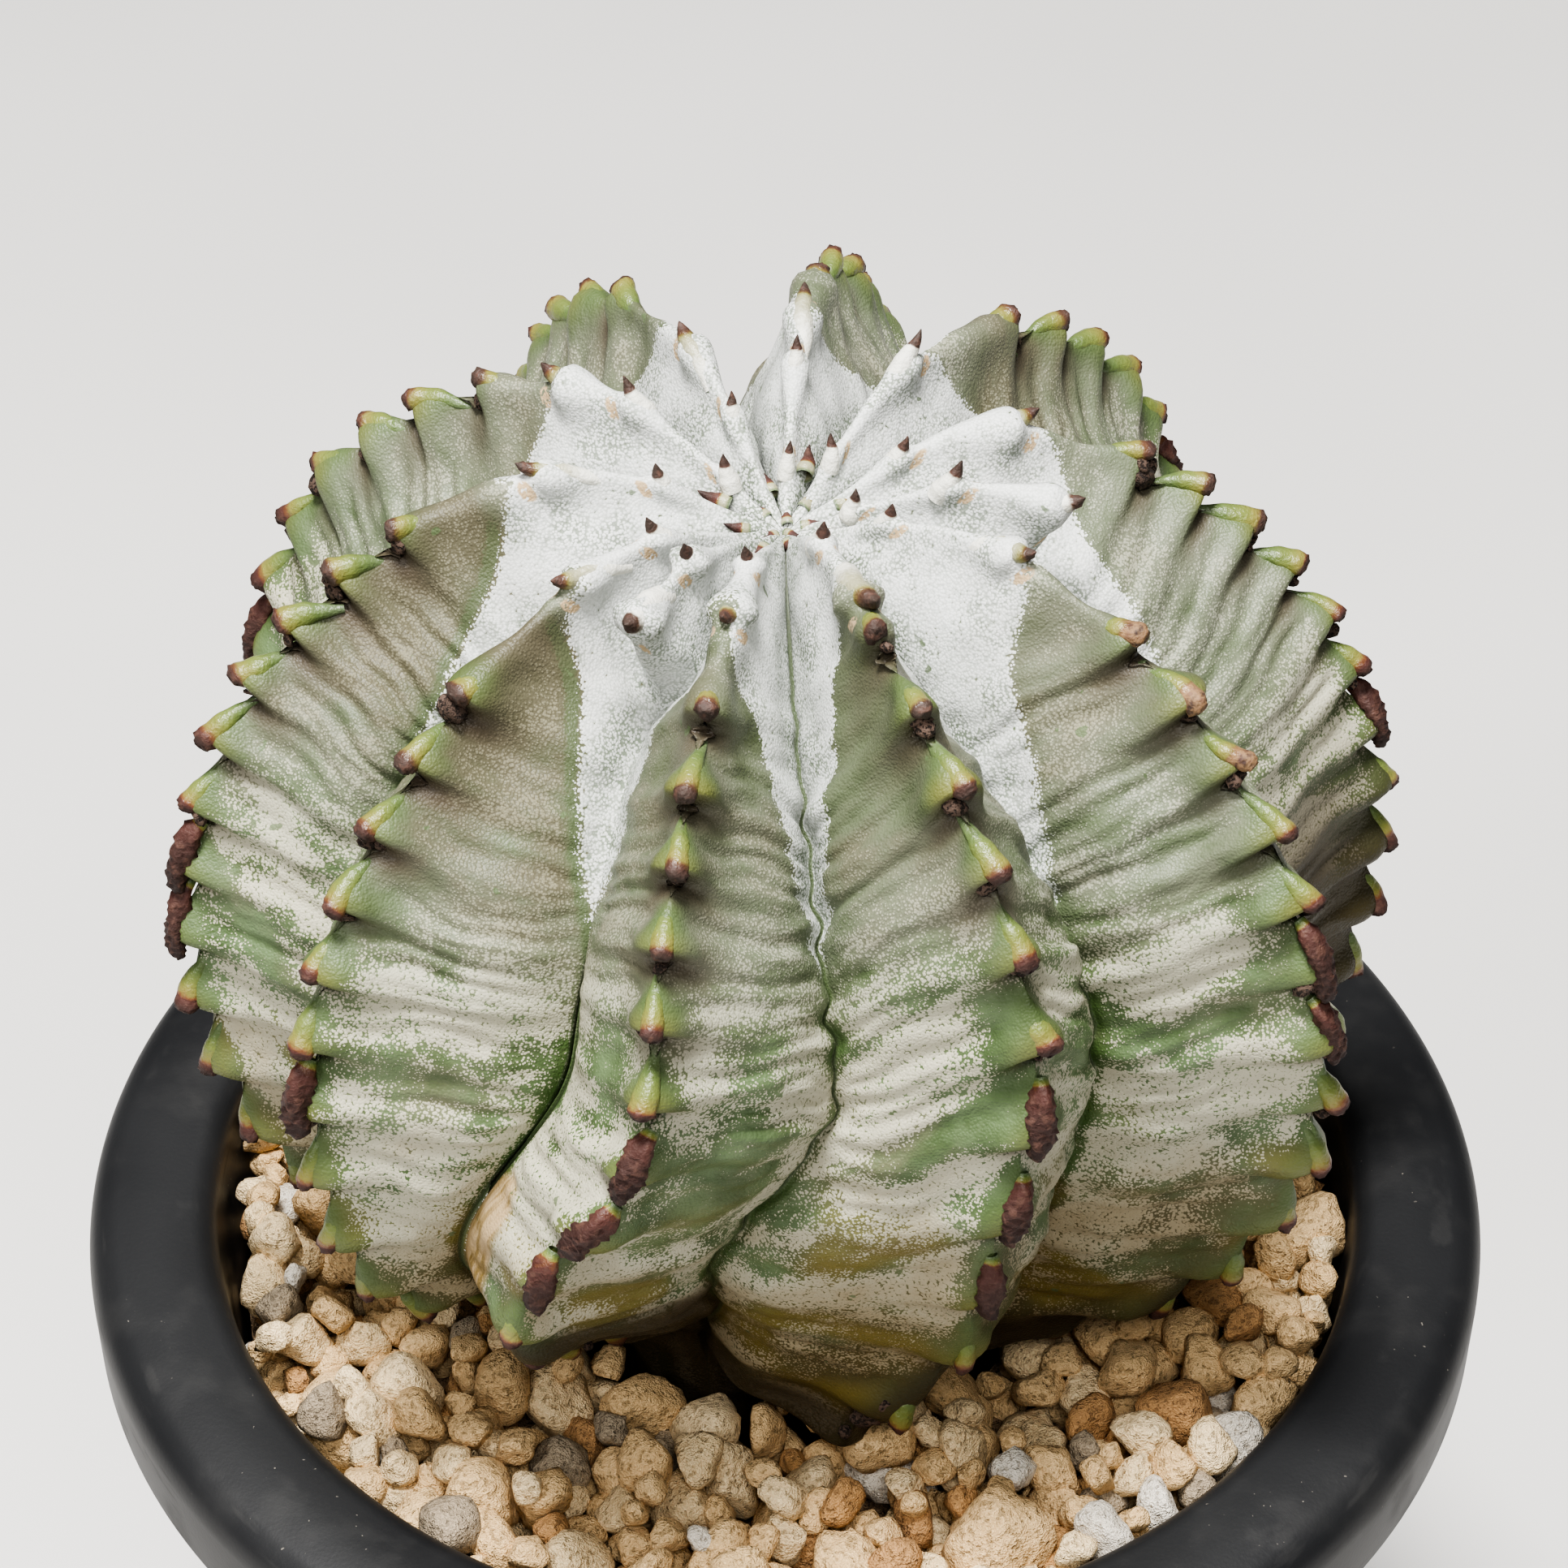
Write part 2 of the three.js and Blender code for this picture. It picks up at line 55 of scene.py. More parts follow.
def lamp(name, place, size, watts, colour):
    light = bpy.data.lights.new(name, "AREA")
    light.shape = "DISK"
    light.size = size
    light.energy = watts
    light.color = colour
    body = bpy.data.objects.new(name, light)
    body.location = place
    aim = Vector((0, 0, 0.12)) - Vector(place)
    body.rotation_euler = aim.to_track_quat("-Z", "Y").to_euler()
    scene.collection.objects.link(body)


lamp("overhead_softbox", (-0.08, -0.09, 1.0), 0.28, 15.6, (1.0, 0.985, 0.96))
lamp("left_softbox", (-0.60, -0.55, 0.70), 0.35, 2.8, (1.0, 0.985, 0.96))
lamp("front_softbox", (0.08, -0.66, 0.95), 0.36, 4.4, (1.0, 0.985, 0.96))

scene.world = bpy.data.worlds.new("studio")
scene.world.use_nodes = True
scene.world.node_tree.nodes["Background"].inputs["Color"].default_value = (0.95, 0.97, 1.0, 1)
scene.world.node_tree.nodes["Background"].inputs["Strength"].default_value = 0.10
scene.view_settings.look = "AgX - High Contrast"


class Wire:
    """A socket of a material. Arithmetic on it adds Math nodes."""

    def __init__(self, tree, socket=None):
        self.tree = tree
        self.socket = socket

    def node(self, kind, settings=None, inputs=None, output=0):
        """Adds one node: its settings are set first, then its sockets get values or wires."""
        node = self.tree.nodes.new(kind)
        for name, value in (settings or {}).items():
            if name == "stops":
                ramp = node.color_ramp
                while len(ramp.elements) < len(value):
                    ramp.elements.new(0.5)
                for stop, (place, colour) in zip(ramp.elements, value):
                    stop.position = place
                    stop.color = (*colour, 1)
            else:
                setattr(node, name, value)
        for name, value in (inputs or {}).items():
            socket = node.inputs[name]
            if isinstance(value, Wire):
                self.tree.links.new(value.socket, socket)
            elif isinstance(value, tuple) and len(value) == 3 and socket.type == "RGBA":
                socket.default_value = (*value, 1)
            else:
                socket.default_value = value
        return Wire(self.tree, node.outputs[output])

    def maths(self, operation, *values):
        return self.node("ShaderNodeMath", {"operation": operation}, dict(enumerate(values)))

    def __add__(self, other):
        return self.maths("ADD", self, other)

    __radd__ = __add__

    def __sub__(self, other):
        return self.maths("SUBTRACT", self, other)

    def __rsub__(self, other):
        return self.maths("SUBTRACT", other, self)

    def __mul__(self, other):
        return self.maths("MULTIPLY", self, other)

    __rmul__ = __mul__

    def rise(self, low, high):
        """0 below low, 1 above high, and a smooth climb between them."""
        return self.node(
            "ShaderNodeMapRange",
            {"interpolation_type": "SMOOTHSTEP"},
            {"Value": self, "From Min": low, "From Max": high},
        )

    def blend(self, a, b):
        """Colour a where this is 0, and colour b where it is 1."""
        return self.node(
            "ShaderNodeMix", {"data_type": "RGBA"}, {"Factor": self, 6: a, 7: b}, output=2
        )

    def field(self, name, output=2):
        """A value stored at the mesh's points."""
        return self.node("ShaderNodeAttribute", {"attribute_name": name}, output=output)

    def place(self):
        """The point in millimetres."""
        spot = self.node("ShaderNodeTexCoord", output=3)
        return self.node(
            "ShaderNodeVectorMath", {"operation": "SCALE"}, {0: spot, "Scale": 1000.0}
        )

    def grain(self, size, detail=2.0, at=None, stretch=(1, 1, 1), rough=0.5):
        """Noise whose lumps are about this many millimetres across, 0 to 1."""
        where = self.node(
            "ShaderNodeVectorMath",
            {"operation": "MULTIPLY"},
            {0: at or self.place(), 1: tuple(1 / k for k in stretch)},
        )
        return self.node(
            "ShaderNodeTexNoise",
            inputs={"Vector": where, "Scale": 1 / size, "Detail": detail, "Roughness": rough},
        )

    def bump(self, height, depth):
        """A surface roughened by a height from 0 to 1, whose full depth is in millimetres."""
        links = {"Height": height, "Distance": depth / 1000, "Strength": 1.0}
        return self.node("ShaderNodeBump", inputs=links)


def finish(name, recipe, **constants):
    """A material: recipe(wire) gives what varies, and constants are set on the shader itself."""
    material = bpy.data.materials.new(name)
    material.use_nodes = True
    tree = material.node_tree
    shader = tree.nodes["Principled BSDF"]
    for key, value in constants.items():
        shader.inputs[key.replace("_", " ")].default_value = value
    for key, wire in recipe(Wire(tree)).items():
        tree.links.new(wire.socket, shader.inputs[key])
    return material


def floor_paint(w):
    tone = w.grain(90, detail=1.0).rise(0.3, 0.7)
    return {"Base Color": tone.blend((0.70, 0.69, 0.675), (0.73, 0.72, 0.705))}


floor_mesh = bpy.data.meshes.new("floor")
floor_mesh.from_pydata([(-3, -3, 0), (3, -3, 0), (3, 3, 0), (-3, 3, 0)], [], [(0, 1, 2, 3)])
floor_mesh.materials.append(finish("floor_paint", floor_paint, Roughness=0.75))
floor = bpy.data.objects.new("floor", floor_mesh)
scene.collection.objects.link(floor)

# Pot: one shell of matt black plastic with a wide, gently domed rim and a skirt round its edge.
# It is moulded in one shot, with drain holes in its floor and four notches in its foot.
MM = 0.001
FULL_TURN = 2 * math.pi
POT_HEIGHT = 105
RIM_RADIUS = 60
MOUTH_RADIUS = 49
LIP_DROP = 1.6
SKIRT_DROP = 10
FOOT_RADIUS = 40.5
FLOOR_RADIUS = 38.6
FLOOR_UNDERSIDE = 3
FLOOR_TOP = 5.5
POT_SIDES = 240
DRAIN_HOLES = 6
DRAIN_RADIUS = 3.2
DRAIN_CIRCLE = 23
FOOT_NOTCHES = 4
NOTCH_BLOCK = (9, 16, 4)
SHARP_EDGE = math.radians(40)


def piece(name, points, faces, material, node, fields=None):
    """One smooth mesh, given in millimetres, that stands for a solid of the part."""
    mesh = bpy.data.meshes.new(name)
    mesh.from_pydata((np.asarray(points, float) * MM).tolist(), [], np.asarray(faces).tolist())
    mesh.shade_smooth()
    for field, values in (fields or {}).items():
        values = np.asarray(values, np.float32)
        if values.ndim == 1:
            mesh.attributes.new(field, "FLOAT", "POINT").data.foreach_set("value", values)
        else:
            store = mesh.attributes.new(field, "FLOAT_VECTOR", "POINT")
            store.data.foreach_set("vector", values.ravel())
    mesh.materials.append(material)
    body = bpy.data.objects.new(name, mesh)
    scene.collection.objects.link(body)
    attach(body, "root")
    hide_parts(node)
    return body


def wall_radius(z):
    """The inside of the pot's wall."""
    share = (z - FLOOR_TOP) / (POT_HEIGHT - LIP_DROP - FLOOR_TOP)
    return FLOOR_RADIUS + (MOUTH_RADIUS - FLOOR_RADIUS) * share


def rounded(corners, steps=5):
    """A closed outline with each corner (x, y, cut) turned into a curve."""
    out = []
    count = len(corners)
    for k, (x, y, cut) in enumerate(corners):
        here = np.array((x, y), float)
        for other in (corners[k - 1], corners[(k + 1) % count]):
            cut = min(cut, 0.5 * np.hypot(other[0] - x, other[1] - y))
        if cut < 0.05 or x == 0:
            out.append(here)
            continue
        before = np.array(corners[k - 1][:2], float) - here
        after = np.array(corners[(k + 1) % count][:2], float) - here
        start = here + before * cut / np.linalg.norm(before)
        end = here + after * cut / np.linalg.norm(after)
        for u in np.linspace(0, 1, steps):
            out.append((1 - u) ** 2 * start + 2 * u * (1 - u) * here + u * u * end)
    return np.array(out)


def black_plastic(w):
    dust = w.grain(7, detail=3).rise(0.48, 0.78)
    speck = w.grain(0.5, detail=1).rise(0.76, 0.79) * w.grain(14).rise(0.5, 0.62)
    scuff = w.grain(1.2, detail=3, stretch=(6, 6, 0.6)).rise(0.6, 0.72)
    wipe = w.grain(30, detail=2).rise(0.35, 0.65)
    base = wipe.blend((0.0150, 0.0155, 0.0170), (0.0215, 0.0221, 0.0236))
    dusty = (dust * 0.16 + scuff * 0.12).blend(base, (0.060, 0.058, 0.054))
    return {
        "Base Color": (speck * 0.5).blend(dusty, (0.30, 0.27, 0.23)),
        "Roughness": 0.46 + 0.10 * dust + 0.08 * scuff,
        "Normal": w.bump(w.grain(0.35, detail=2), 0.012),
    }


# Radius, height and rounding of each corner, from the middle of the underside to the floor inside.
h = POT_HEIGHT
POT_OUTLINE = [
    (0, FLOOR_UNDERSIDE, 0), (36, FLOOR_UNDERSIDE, 0.6), (36.5, 0, 0.3), (FOOT_RADIUS, 0, 0.5),
    (41.3, 3, 0.6), (51.4, h - 6, 0.9), (52.4, h - 3.6, 0.9), (57.6, h - 4.4, 0.6),
    (58, h - SKIRT_DROP, 0.25), (59.8, h - SKIRT_DROP, 0.35), (RIM_RADIUS, h - 3.2, 1.0),
    (59.5, h - 1.7, 2), (58.1, h - 0.6, 2), (54.5, h, 3), (50.3, h - 0.4, 1.0),
    (MOUTH_RADIUS, h - LIP_DROP, 0.8), (FLOOR_RADIUS, FLOOR_TOP, 1.2), (0, FLOOR_TOP, 0),
]
outline = rounded(POT_OUTLINE)
turns = np.arange(POT_SIDES) * FULL_TURN / POT_SIDES
shell = bmesh.new()
loops = [
    [shell.verts.new((r * math.sin(a) * MM, -r * math.cos(a) * MM, z * MM)) for a in turns]
    for r, z in outline
    if r > 0
]
for low, high in zip(loops, loops[1:]):
    for k in range(POT_SIDES):
        n = (k + 1) % POT_SIDES
        shell.faces.new((low[k], low[n], high[n], high[k]))
for loop, z, flip in ((loops[0], FLOOR_UNDERSIDE, True), (loops[-1], FLOOR_TOP, False)):
    pole = shell.verts.new((0, 0, z * MM))
    for k in range(POT_SIDES):
        n = (k + 1) % POT_SIDES
        shell.faces.new((pole, loop[n], loop[k]) if flip else (pole, loop[k], loop[n]))
bmesh.ops.recalc_face_normals(shell, faces=shell.faces)
pot_mesh = bpy.data.meshes.new("black_pot")
shell.to_mesh(pot_mesh)
shell.free()
black_pot = bpy.data.objects.new("black_pot", pot_mesh)
scene.collection.objects.link(black_pot)


def cutter(build, place, turn):
    """A solid whose shape is taken out of the pot's shell."""
    tool = bmesh.new()
    build(tool)
    mesh = bpy.data.meshes.new("cutter")
    tool.to_mesh(mesh)
    tool.free()
    body = bpy.data.objects.new("cutter", mesh)
    body.matrix_world = Matrix.Rotation(turn, 4, "Z") @ Matrix.Translation(Vector(place) * MM)
    scene.collection.objects.link(body)
    return body


def drill(tool):
    radius = DRAIN_RADIUS * MM
    bmesh.ops.create_cone(
        tool, cap_ends=True, segments=32, radius1=radius, radius2=radius, depth=16 * MM
    )


def notch_block(tool):
    size = Matrix.Diagonal((*(side * MM for side in NOTCH_BLOCK), 1))
    bmesh.ops.create_cube(tool, size=1, matrix=size)


cutters = [
    cutter(drill, (0, -DRAIN_CIRCLE, FLOOR_UNDERSIDE), k * FULL_TURN / DRAIN_HOLES)
    for k in range(DRAIN_HOLES)
]
cutters += [
    cutter(notch_block, (0, -FOOT_RADIUS, 0), (k + 0.5) * FULL_TURN / FOOT_NOTCHES)
    for k in range(FOOT_NOTCHES)
]
for tool in cutters:
    cut = black_pot.modifiers.new("cut", "BOOLEAN")
    cut.operation = "DIFFERENCE"
    cut.solver = "EXACT"
    cut.object = tool
bpy.context.view_layer.update()
finished = bpy.data.meshes.new_from_object(
    black_pot.evaluated_get(bpy.context.evaluated_depsgraph_get())
)
black_pot.modifiers.clear()
black_pot.data = finished
for tool in cutters:
    bpy.data.objects.remove(tool)
finished.shade_smooth()
finished.set_sharp_from_angle(angle=SHARP_EDGE)
finished.materials.clear()
finished.materials.append(finish("black_plastic", black_plastic, Specular_IOR_Level=0.42))
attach(black_pot, "root")
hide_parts("pot")

# Drainage layer: coarse, rounded pumice stones, tipped loose on the pot's floor under the grit
# so that it can't wash out through the drain holes.
STONES = 132
STONE_SIZE = (3.7, 4.9)
NESTING = 0.93
chance = np.random.default_rng(11)


def heap(chance, sizes, inner, outer, floor_z, tries=14):
    """Lets balls of these sizes fall one by one into a ring, each to the lowest place it finds."""
    balls = np.zeros((len(sizes), 4))
    for k, r in enumerate(sizes):
        near, far = inner + r, outer(floor_z) - r
        radius = np.sqrt(chance.uniform(near * near, far * far, tries))
        angle = chance.uniform(0, FULL_TURN, tries)
        spots = np.stack([radius * np.cos(angle), radius * np.sin(angle)], 1)
        rest = np.full(tries, floor_z + r)
        if k:
            away = np.linalg.norm(spots[:, None] - balls[None, :k, :2], axis=2)
            reach = NESTING * (r + balls[None, :k, 3])
            lift = np.sqrt(np.maximum(reach**2 - away**2, 0))
            held = np.where(away < reach, balls[None, :k, 2] + lift, 0)
            rest = np.maximum(rest, held.max(1))
        best = rest.argmin()
        balls[k] = (*spots[best], rest[best], r)
    return balls


def ball_mesh(splits):
    tool = bmesh.new()
    bmesh.ops.create_icosphere(tool, subdivisions=splits, radius=1)
    points = np.array([v.co for v in tool.verts])
    faces = np.array([[v.index for v in f.verts] for f in tool.faces])
    tool.free()
    return points, faces


def waves(points, size, seed, count=18):
    """Smooth noise from -1 to 1, whose lumps are about this size."""
    pick = np.random.default_rng(seed)
    way = pick.normal(size=(count, points.shape[-1]))
    way /= np.linalg.norm(way, axis=1)[:, None]
    rate = FULL_TURN / (size * pick.uniform(1.2, 2.6, count))
    shift = pick.uniform(0, FULL_TURN, count)
    total = np.zeros(points.shape[:-1])
    for k in range(count):
        total += np.sin(points @ way[k] * rate[k] + shift[k])
    return total / math.sqrt(count)


FACETS = 13
WORN_EDGE = 20


def pebbles(chance, balls, splits, flat=0.5):
    """One lump at each ball: soft, irregular facets with worn edges and shallow dents."""
    sphere, faces = ball_mesh(splits)
    points, sides, tints = [], [], []
    for x, y, z, r in balls:
        way = chance.normal(size=(FACETS, 3))
        way /= np.linalg.norm(way, axis=1)[:, None]
        away = chance.uniform(0.66, 1.15, FACETS)
        facing = np.maximum(sphere @ way.T, 1e-3)
        cuts = np.minimum(away / facing, 1.35)
        shape = -np.log(np.exp(-WORN_EDGE * cuts).sum(1) / 1.6) / WORN_EDGE
        shape = shape * (1 + 0.05 * waves(sphere, 0.6, int(chance.integers(1 << 30)), 9))
        if splits > 2:
            shape = shape * (1 + 0.025 * waves(sphere, 0.25, int(chance.integers(1 << 30)), 9))
        stretch = 1 + flat * chance.uniform(-0.5, 0.5, 3)
        body = sphere * shape[:, None] * stretch
        turn = np.linalg.qr(chance.normal(size=(3, 3)))[0]
        if np.linalg.det(turn) < 0:
            turn[0] *= -1
        body = body @ turn * (r / NESTING)
        points.append(body + (x, y, z))
        sides.append(faces + len(sphere) * (len(points) - 1))
        tints.append(np.full(len(sphere), chance.uniform()))
    return np.concatenate(points), np.concatenate(sides), np.concatenate(tints)


def pumice(w):
    tone = w.field("tint")
    pits = w.grain(0.5, detail=3).rise(0.36, 0.5)
    base = tone.blend((0.36, 0.31, 0.24), (0.58, 0.52, 0.43))
    return {
        "Base Color": pits.blend((0.20, 0.16, 0.11), base),
        "Normal": w.bump(pits * 0.6 + w.grain(0.25) * 0.4, 0.25),
    }


stone_sizes = chance.uniform(*STONE_SIZE, STONES)
stones = heap(chance, stone_sizes, 0, lambda z: wall_radius(z) - 0.6, FLOOR_TOP + 0.4)
points, faces, tint = pebbles(chance, stones, 2)
points[:, 2] = np.maximum(points[:, 2], FLOOR_TOP + 0.2)
piece(
    "pumice_stones", points, faces, finish("pumice", pumice, Roughness=0.95),
    "drainage_stones", {"tint": tint},
)

# Potting grit: tan, porous baked-clay and pumice granules of 3 to 5 mm, with a few rust, grey and
# white ones and some larger stones. They are poured round the neck of the plant and lie loose.
BED_TOP = POT_HEIGHT - 4.4
BED_RADIUS = 48.1
LOOSE_DEPTH = 9.5
NECK_RADIUS = 21.6
GRAINS = 1600
LARGE_GRAINS = 22


def grit(light, dark, pit_colour):
    def recipe(w):
        tone = w.field("tint")
        lumps = w.grain(0.9, detail=3, rough=0.65).rise(0.30, 0.70)
        pits = w.grain(0.60, detail=3, rough=0.65).rise(0.34, 0.47)
        crumbs = w.grain(0.17, detail=2).rise(0.35, 0.65)
        base = (0.6 * tone + 0.4 * lumps).blend(dark, light)
        pitted = (0.3 + 0.7 * pits).blend(pit_colour, base)
        pale = tuple(min(1, 1.15 * c + 0.04) for c in light)
        return {
            "Base Color": (crumbs * 0.35).blend(pitted, pale),
            "Normal": w.bump(0.40 * lumps + 0.38 * pits + 0.22 * crumbs, 0.42),
        }

    return recipe


chance = np.random.default_rng(21)
grain_sizes = np.clip(1.60 * np.exp(chance.normal(0, 0.30, GRAINS)), 0.75, 2.8)
large_sizes = chance.uniform(2.9, 3.8, LARGE_GRAINS)
grain_sizes[chance.choice(GRAINS, LARGE_GRAINS, replace=False)] = large_sizes
grains = heap(chance, grain_sizes, NECK_RADIUS, lambda z: BED_RADIUS, BED_TOP - LOOSE_DEPTH)
grains = grains[grains[:, 2] + 0.6 * grains[:, 3] < BED_TOP + 1.5]

# Grains that others lie on get fewer faces.
crowded = np.zeros(len(grains), int)
for k, (x, y, z, r) in enumerate(grains):
    away = np.hypot(grains[:, 0] - x, grains[:, 1] - y)
    crowded[k] = ((away < 2.4) & (grains[:, 2] > z + 1.2)).sum()
hidden = crowded > 1

# Each kind: the share of the grains up to and with it, and its light, dark and pit colours.
GRIT_KINDS = {
    "tan_grit": (0.54, (0.88, 0.63, 0.35), (0.64, 0.43, 0.22), (0.32, 0.20, 0.09)),
    "buff_grit": (0.84, (0.93, 0.73, 0.47), (0.74, 0.54, 0.31), (0.40, 0.27, 0.14)),
    "brown_grit": (0.925, (0.58, 0.34, 0.15), (0.40, 0.23, 0.11), (0.20, 0.11, 0.05)),
    "grey_grit": (0.965, (0.44, 0.36, 0.26), (0.30, 0.24, 0.17), (0.15, 0.12, 0.08)),
    "white_grit": (1, (0.84, 0.79, 0.70), (0.70, 0.63, 0.53), (0.46, 0.38, 0.29)),
}
draw = chance.uniform(size=len(grains))
least = 0
for name, (most, light, dark, pit_colour) in GRIT_KINDS.items():
    of_kind = (draw >= least) & (draw < most)
    least = most
    shown = pebbles(chance, grains[of_kind & ~hidden], 3)
    below = pebbles(chance, grains[of_kind & hidden], 2)
    points = np.concatenate([shown[0], below[0]])
    faces = np.concatenate([shown[1], below[1] + len(shown[0])])
    piece(
        name, points, faces, finish(name, grit(light, dark, pit_colour), Roughness=0.93),
        "granule_bed", {"tint": np.concatenate([shown[2], below[2]])},
    )

# Below the loose grains, the imported grit is one body with a bore for the taproot. It is painted
# much darker than the loose grains: painted shade in the gaps between them.
CORE_TOP = BED_TOP - LOOSE_DEPTH + 1.5
CORE_FLOOR = 23
core_outline = [
    (NECK_RADIUS, CORE_TOP), (47, CORE_TOP), (wall_radius(CORE_FLOOR) - 0.8, CORE_FLOOR),
    (3, CORE_FLOOR), (3, 62), (17.5, 80),
]
core_points = [
    (r * math.sin(a), -r * math.cos(a), z) for r, z in core_outline for a in turns[::4]
]
sides = len(turns[::4])
core_faces = []
for k in range(len(core_outline)):
    for j in range(sides):
        a, b = k * sides + j, k * sides + (j + 1) % sides
        c = ((k + 1) % len(core_outline)) * sides
        core_faces.append((a, c + j, c + (j + 1) % sides, b))
# Darker than the loose grit: painted shade for the gaps between the grains.
packed_in_shade = grit((0.40, 0.28, 0.17), (0.22, 0.14, 0.08), (0.05, 0.03, 0.02))
piece(
    "packed_grit_shaded", core_points, core_faces, finish("packed_grit_shaded", packed_in_shade, Roughness=0.95),
    "granule_bed", {"tint": np.full(len(core_points), 0.3)},
)

# Plant body: one living, ribbed body under a chalky white bloom. Sharp ribs run from the crown to
# the soil between deep furrows, and each tooth draws a soft ripple down both flanks of its rib.
RIDGE_LINE = [
    (2.6, 70.3), (14.2, 75.2), (23.6, 73.7), (31.0, 70.6), (37.0, 65.8), (42.8, 59.0),
    (46.5, 49.6), (48.1, 38.1), (45.9, 24.3), (38.8, 9.2), (27.0, -1.7),
]
FURROW_LINE = [
    (1.2, 69.3), (8.6, 66.8), (15.6, 63.9), (22.2, 60.4), (28.3, 56.2), (32.8, 51.0),
    (35.2, 44.0), (35.5, 34.5), (33.0, 22.5), (27.8, 9.2), (22.2, -2.5),
]
NECK_LINE = [(21.3, -3.4), (20.8, -8), (17, -22), (10, -36)]
CROWN_HEIGHT = 68.8
ROOT_TIP = -40

# Each rib: its turn round the plant, lean from crown to foot, swing low down, reach and lift of its
# line, tuck of its foot, brown tint and painted shade on its two flanks, first tooth and spacing,
# crown teeth, aside of the furrow after it, span of its dried teeth, and late curl of its foot.
# Ends is where a short rib dies out. The named ones are those that face the front, with marks of
# their own.
FRONT, FRONT_RIGHT, RIGHT, FAR_RIGHT = 0, 1, 2, 4
FAR_LEFT, LEFT, SHORT_LEFT = 9, 10, 11
RIBS = [
    dict(turn=-12.3, lean=-1.2, swing=-15.1, lift=1.3, tuck=8, sun=(0.6, 0.35), teeth=(0.8, 1.0),
         crown=(0.09, 0.148), shift=(0, -8), dry=(0.62, 0.76)),
    dict(turn=20.9, lean=22.1, swing=-8.8, reach=0.91, lift=5.1, tuck=-0.6, sun=(0.4, 0.2),
         teeth=(0.1, 1.18), crown=(0.088, 0.174, 0.213), dry=(0.67, 0.83), toe=(-16, 5)),
    dict(turn=55.2, lean=-5.7, swing=4.1, reach=1.05, lift=0.7, sun=(0.3, 0.3), teeth=(0.1, 1.0),
         crown=(0.06, 0.151), dry=(0.58, 0.67)),
    dict(turn=80.0, teeth=(0.2, 0.57), crown=(0.033, 0.09, 0.17), ends=0.22),
    dict(turn=102.4, lean=-32.7, swing=2.1, reach=1.01, lift=-3.1, sun=(0.0, 0.4),
         teeth=(0.4, 0.86), crown=(0.065, 0.142), dry=(0.58, 0.62)),
    dict(turn=139.5, lean=-12.5, swing=1.0, reach=1.01, lift=0.6, sun=(0.5, 0.6),
         teeth=(0.7, 1.08), crown=(0.04, 0.117)),
    dict(turn=172.1, lean=-14.8, reach=1.01, lift=1.3, sun=(0.2, 0.4), teeth=(0.4, 1.08),
         crown=(0.03, 0.092, 0.15)),
    dict(turn=207.8, lean=5.3, lift=0.9, sun=(0.5, 0.3), teeth=(0.9, 1.08), crown=(0.064, 0.12)),
    dict(turn=242.0, lean=17.3, reach=0.99, lift=0.2, sun=(0.3, 0.3), teeth=(0.7, 1.05),
         crown=(0.035, 0.101, 0.16)),
    dict(turn=279.0, lean=26.1, swing=-1.3, reach=1.02, lift=-1.0, tuck=4, sun=(0.7, 0.75),
         teeth=(0.3, 0.91), crown=(0.064, 0.137)),
    dict(turn=310.6, lean=4.7, swing=1.2, reach=1.02, lift=-2.2, tuck=7, sun=(0.8, 0.8),
         teeth=(0.3, 1.0), crown=(0.085, 0.154), shift=(4, -3), fill=0.45, dry=(0.65, 0.69)),
    dict(turn=329.0, tuck=7, teeth=(0.85, 0.55), crown=(0.1, 0.169), ends=0.23, shift=(4, -3),
         fill=0.45),
]
PLAIN_RIB = dict(
    lean=0, swing=0, reach=1, lift=0, tuck=0, shift=(0, 0), fill=0, ends=2, dry=(0.6, 0.68),
    sun=(0.3, 0.3), toe=(0, 0),
)
RIBS = [{**PLAIN_RIB, **rib} for rib in RIBS]

# The spans, from crown to foot, over which those values take hold.
LEAN_CENTRE = 0.4
SWING_SPAN = (0.6, 0.85)
TOE_SPAN = (0.88, 1)
TUCK_SPAN = (0.8, 0.97)
SHIFT_SPAN = (0.25, 0.45)
FILL_SPAN = (0.55, 0.85)
JOIN_LENGTH = 0.3
FULL_GAP = 34
FLANK_BULGE = 0.06
FADE_LENGTH = 0.06
FADED_WIDTH = 0.01
FULL_COLUMNS = 26
SHORT_COLUMNS = 14
BODY_ROWS = 320
CROWN_ROUND = 0.15
CREST_ROUND = 0.05


def step(x, low, high):
    u = np.clip((x - low) / (high - low), 0, 1)
    return u * u * (3 - 2 * u)


def bell(x, width):
    return np.exp(-((x / width) ** 2))


def mix_of(a, b, u):
    return a + (b - a) * u


def through(points, t):
    """A curve through evenly spaced knots."""
    knots = np.array(points, float)
    last = len(knots) - 1
    p = np.asarray(t, float) * last
    k = np.clip(np.floor(p).astype(int), 0, last)
    u = (p - k)[..., None]
    p0, p1 = knots[np.maximum(k - 1, 0)], knots[k]
    p2, p3 = knots[np.minimum(k + 1, last)], knots[np.minimum(k + 2, last)]
    v0, v1 = (p2 - p0) / 2, (p3 - p1) / 2
    cubic, square = 2 * p1 - 2 * p2 + v0 + v1, -3 * p1 + 3 * p2 - 2 * v0 - v1
    return cubic * u**3 + square * u**2 + v0 * u + p1


def rib_of(i):
    return RIBS[i % len(RIBS)]


def rib_strength(i, t):
    ends = rib_of(i)["ends"]
    return mix_of(1, FADED_WIDTH, step(t, ends - FADE_LENGTH, ends))


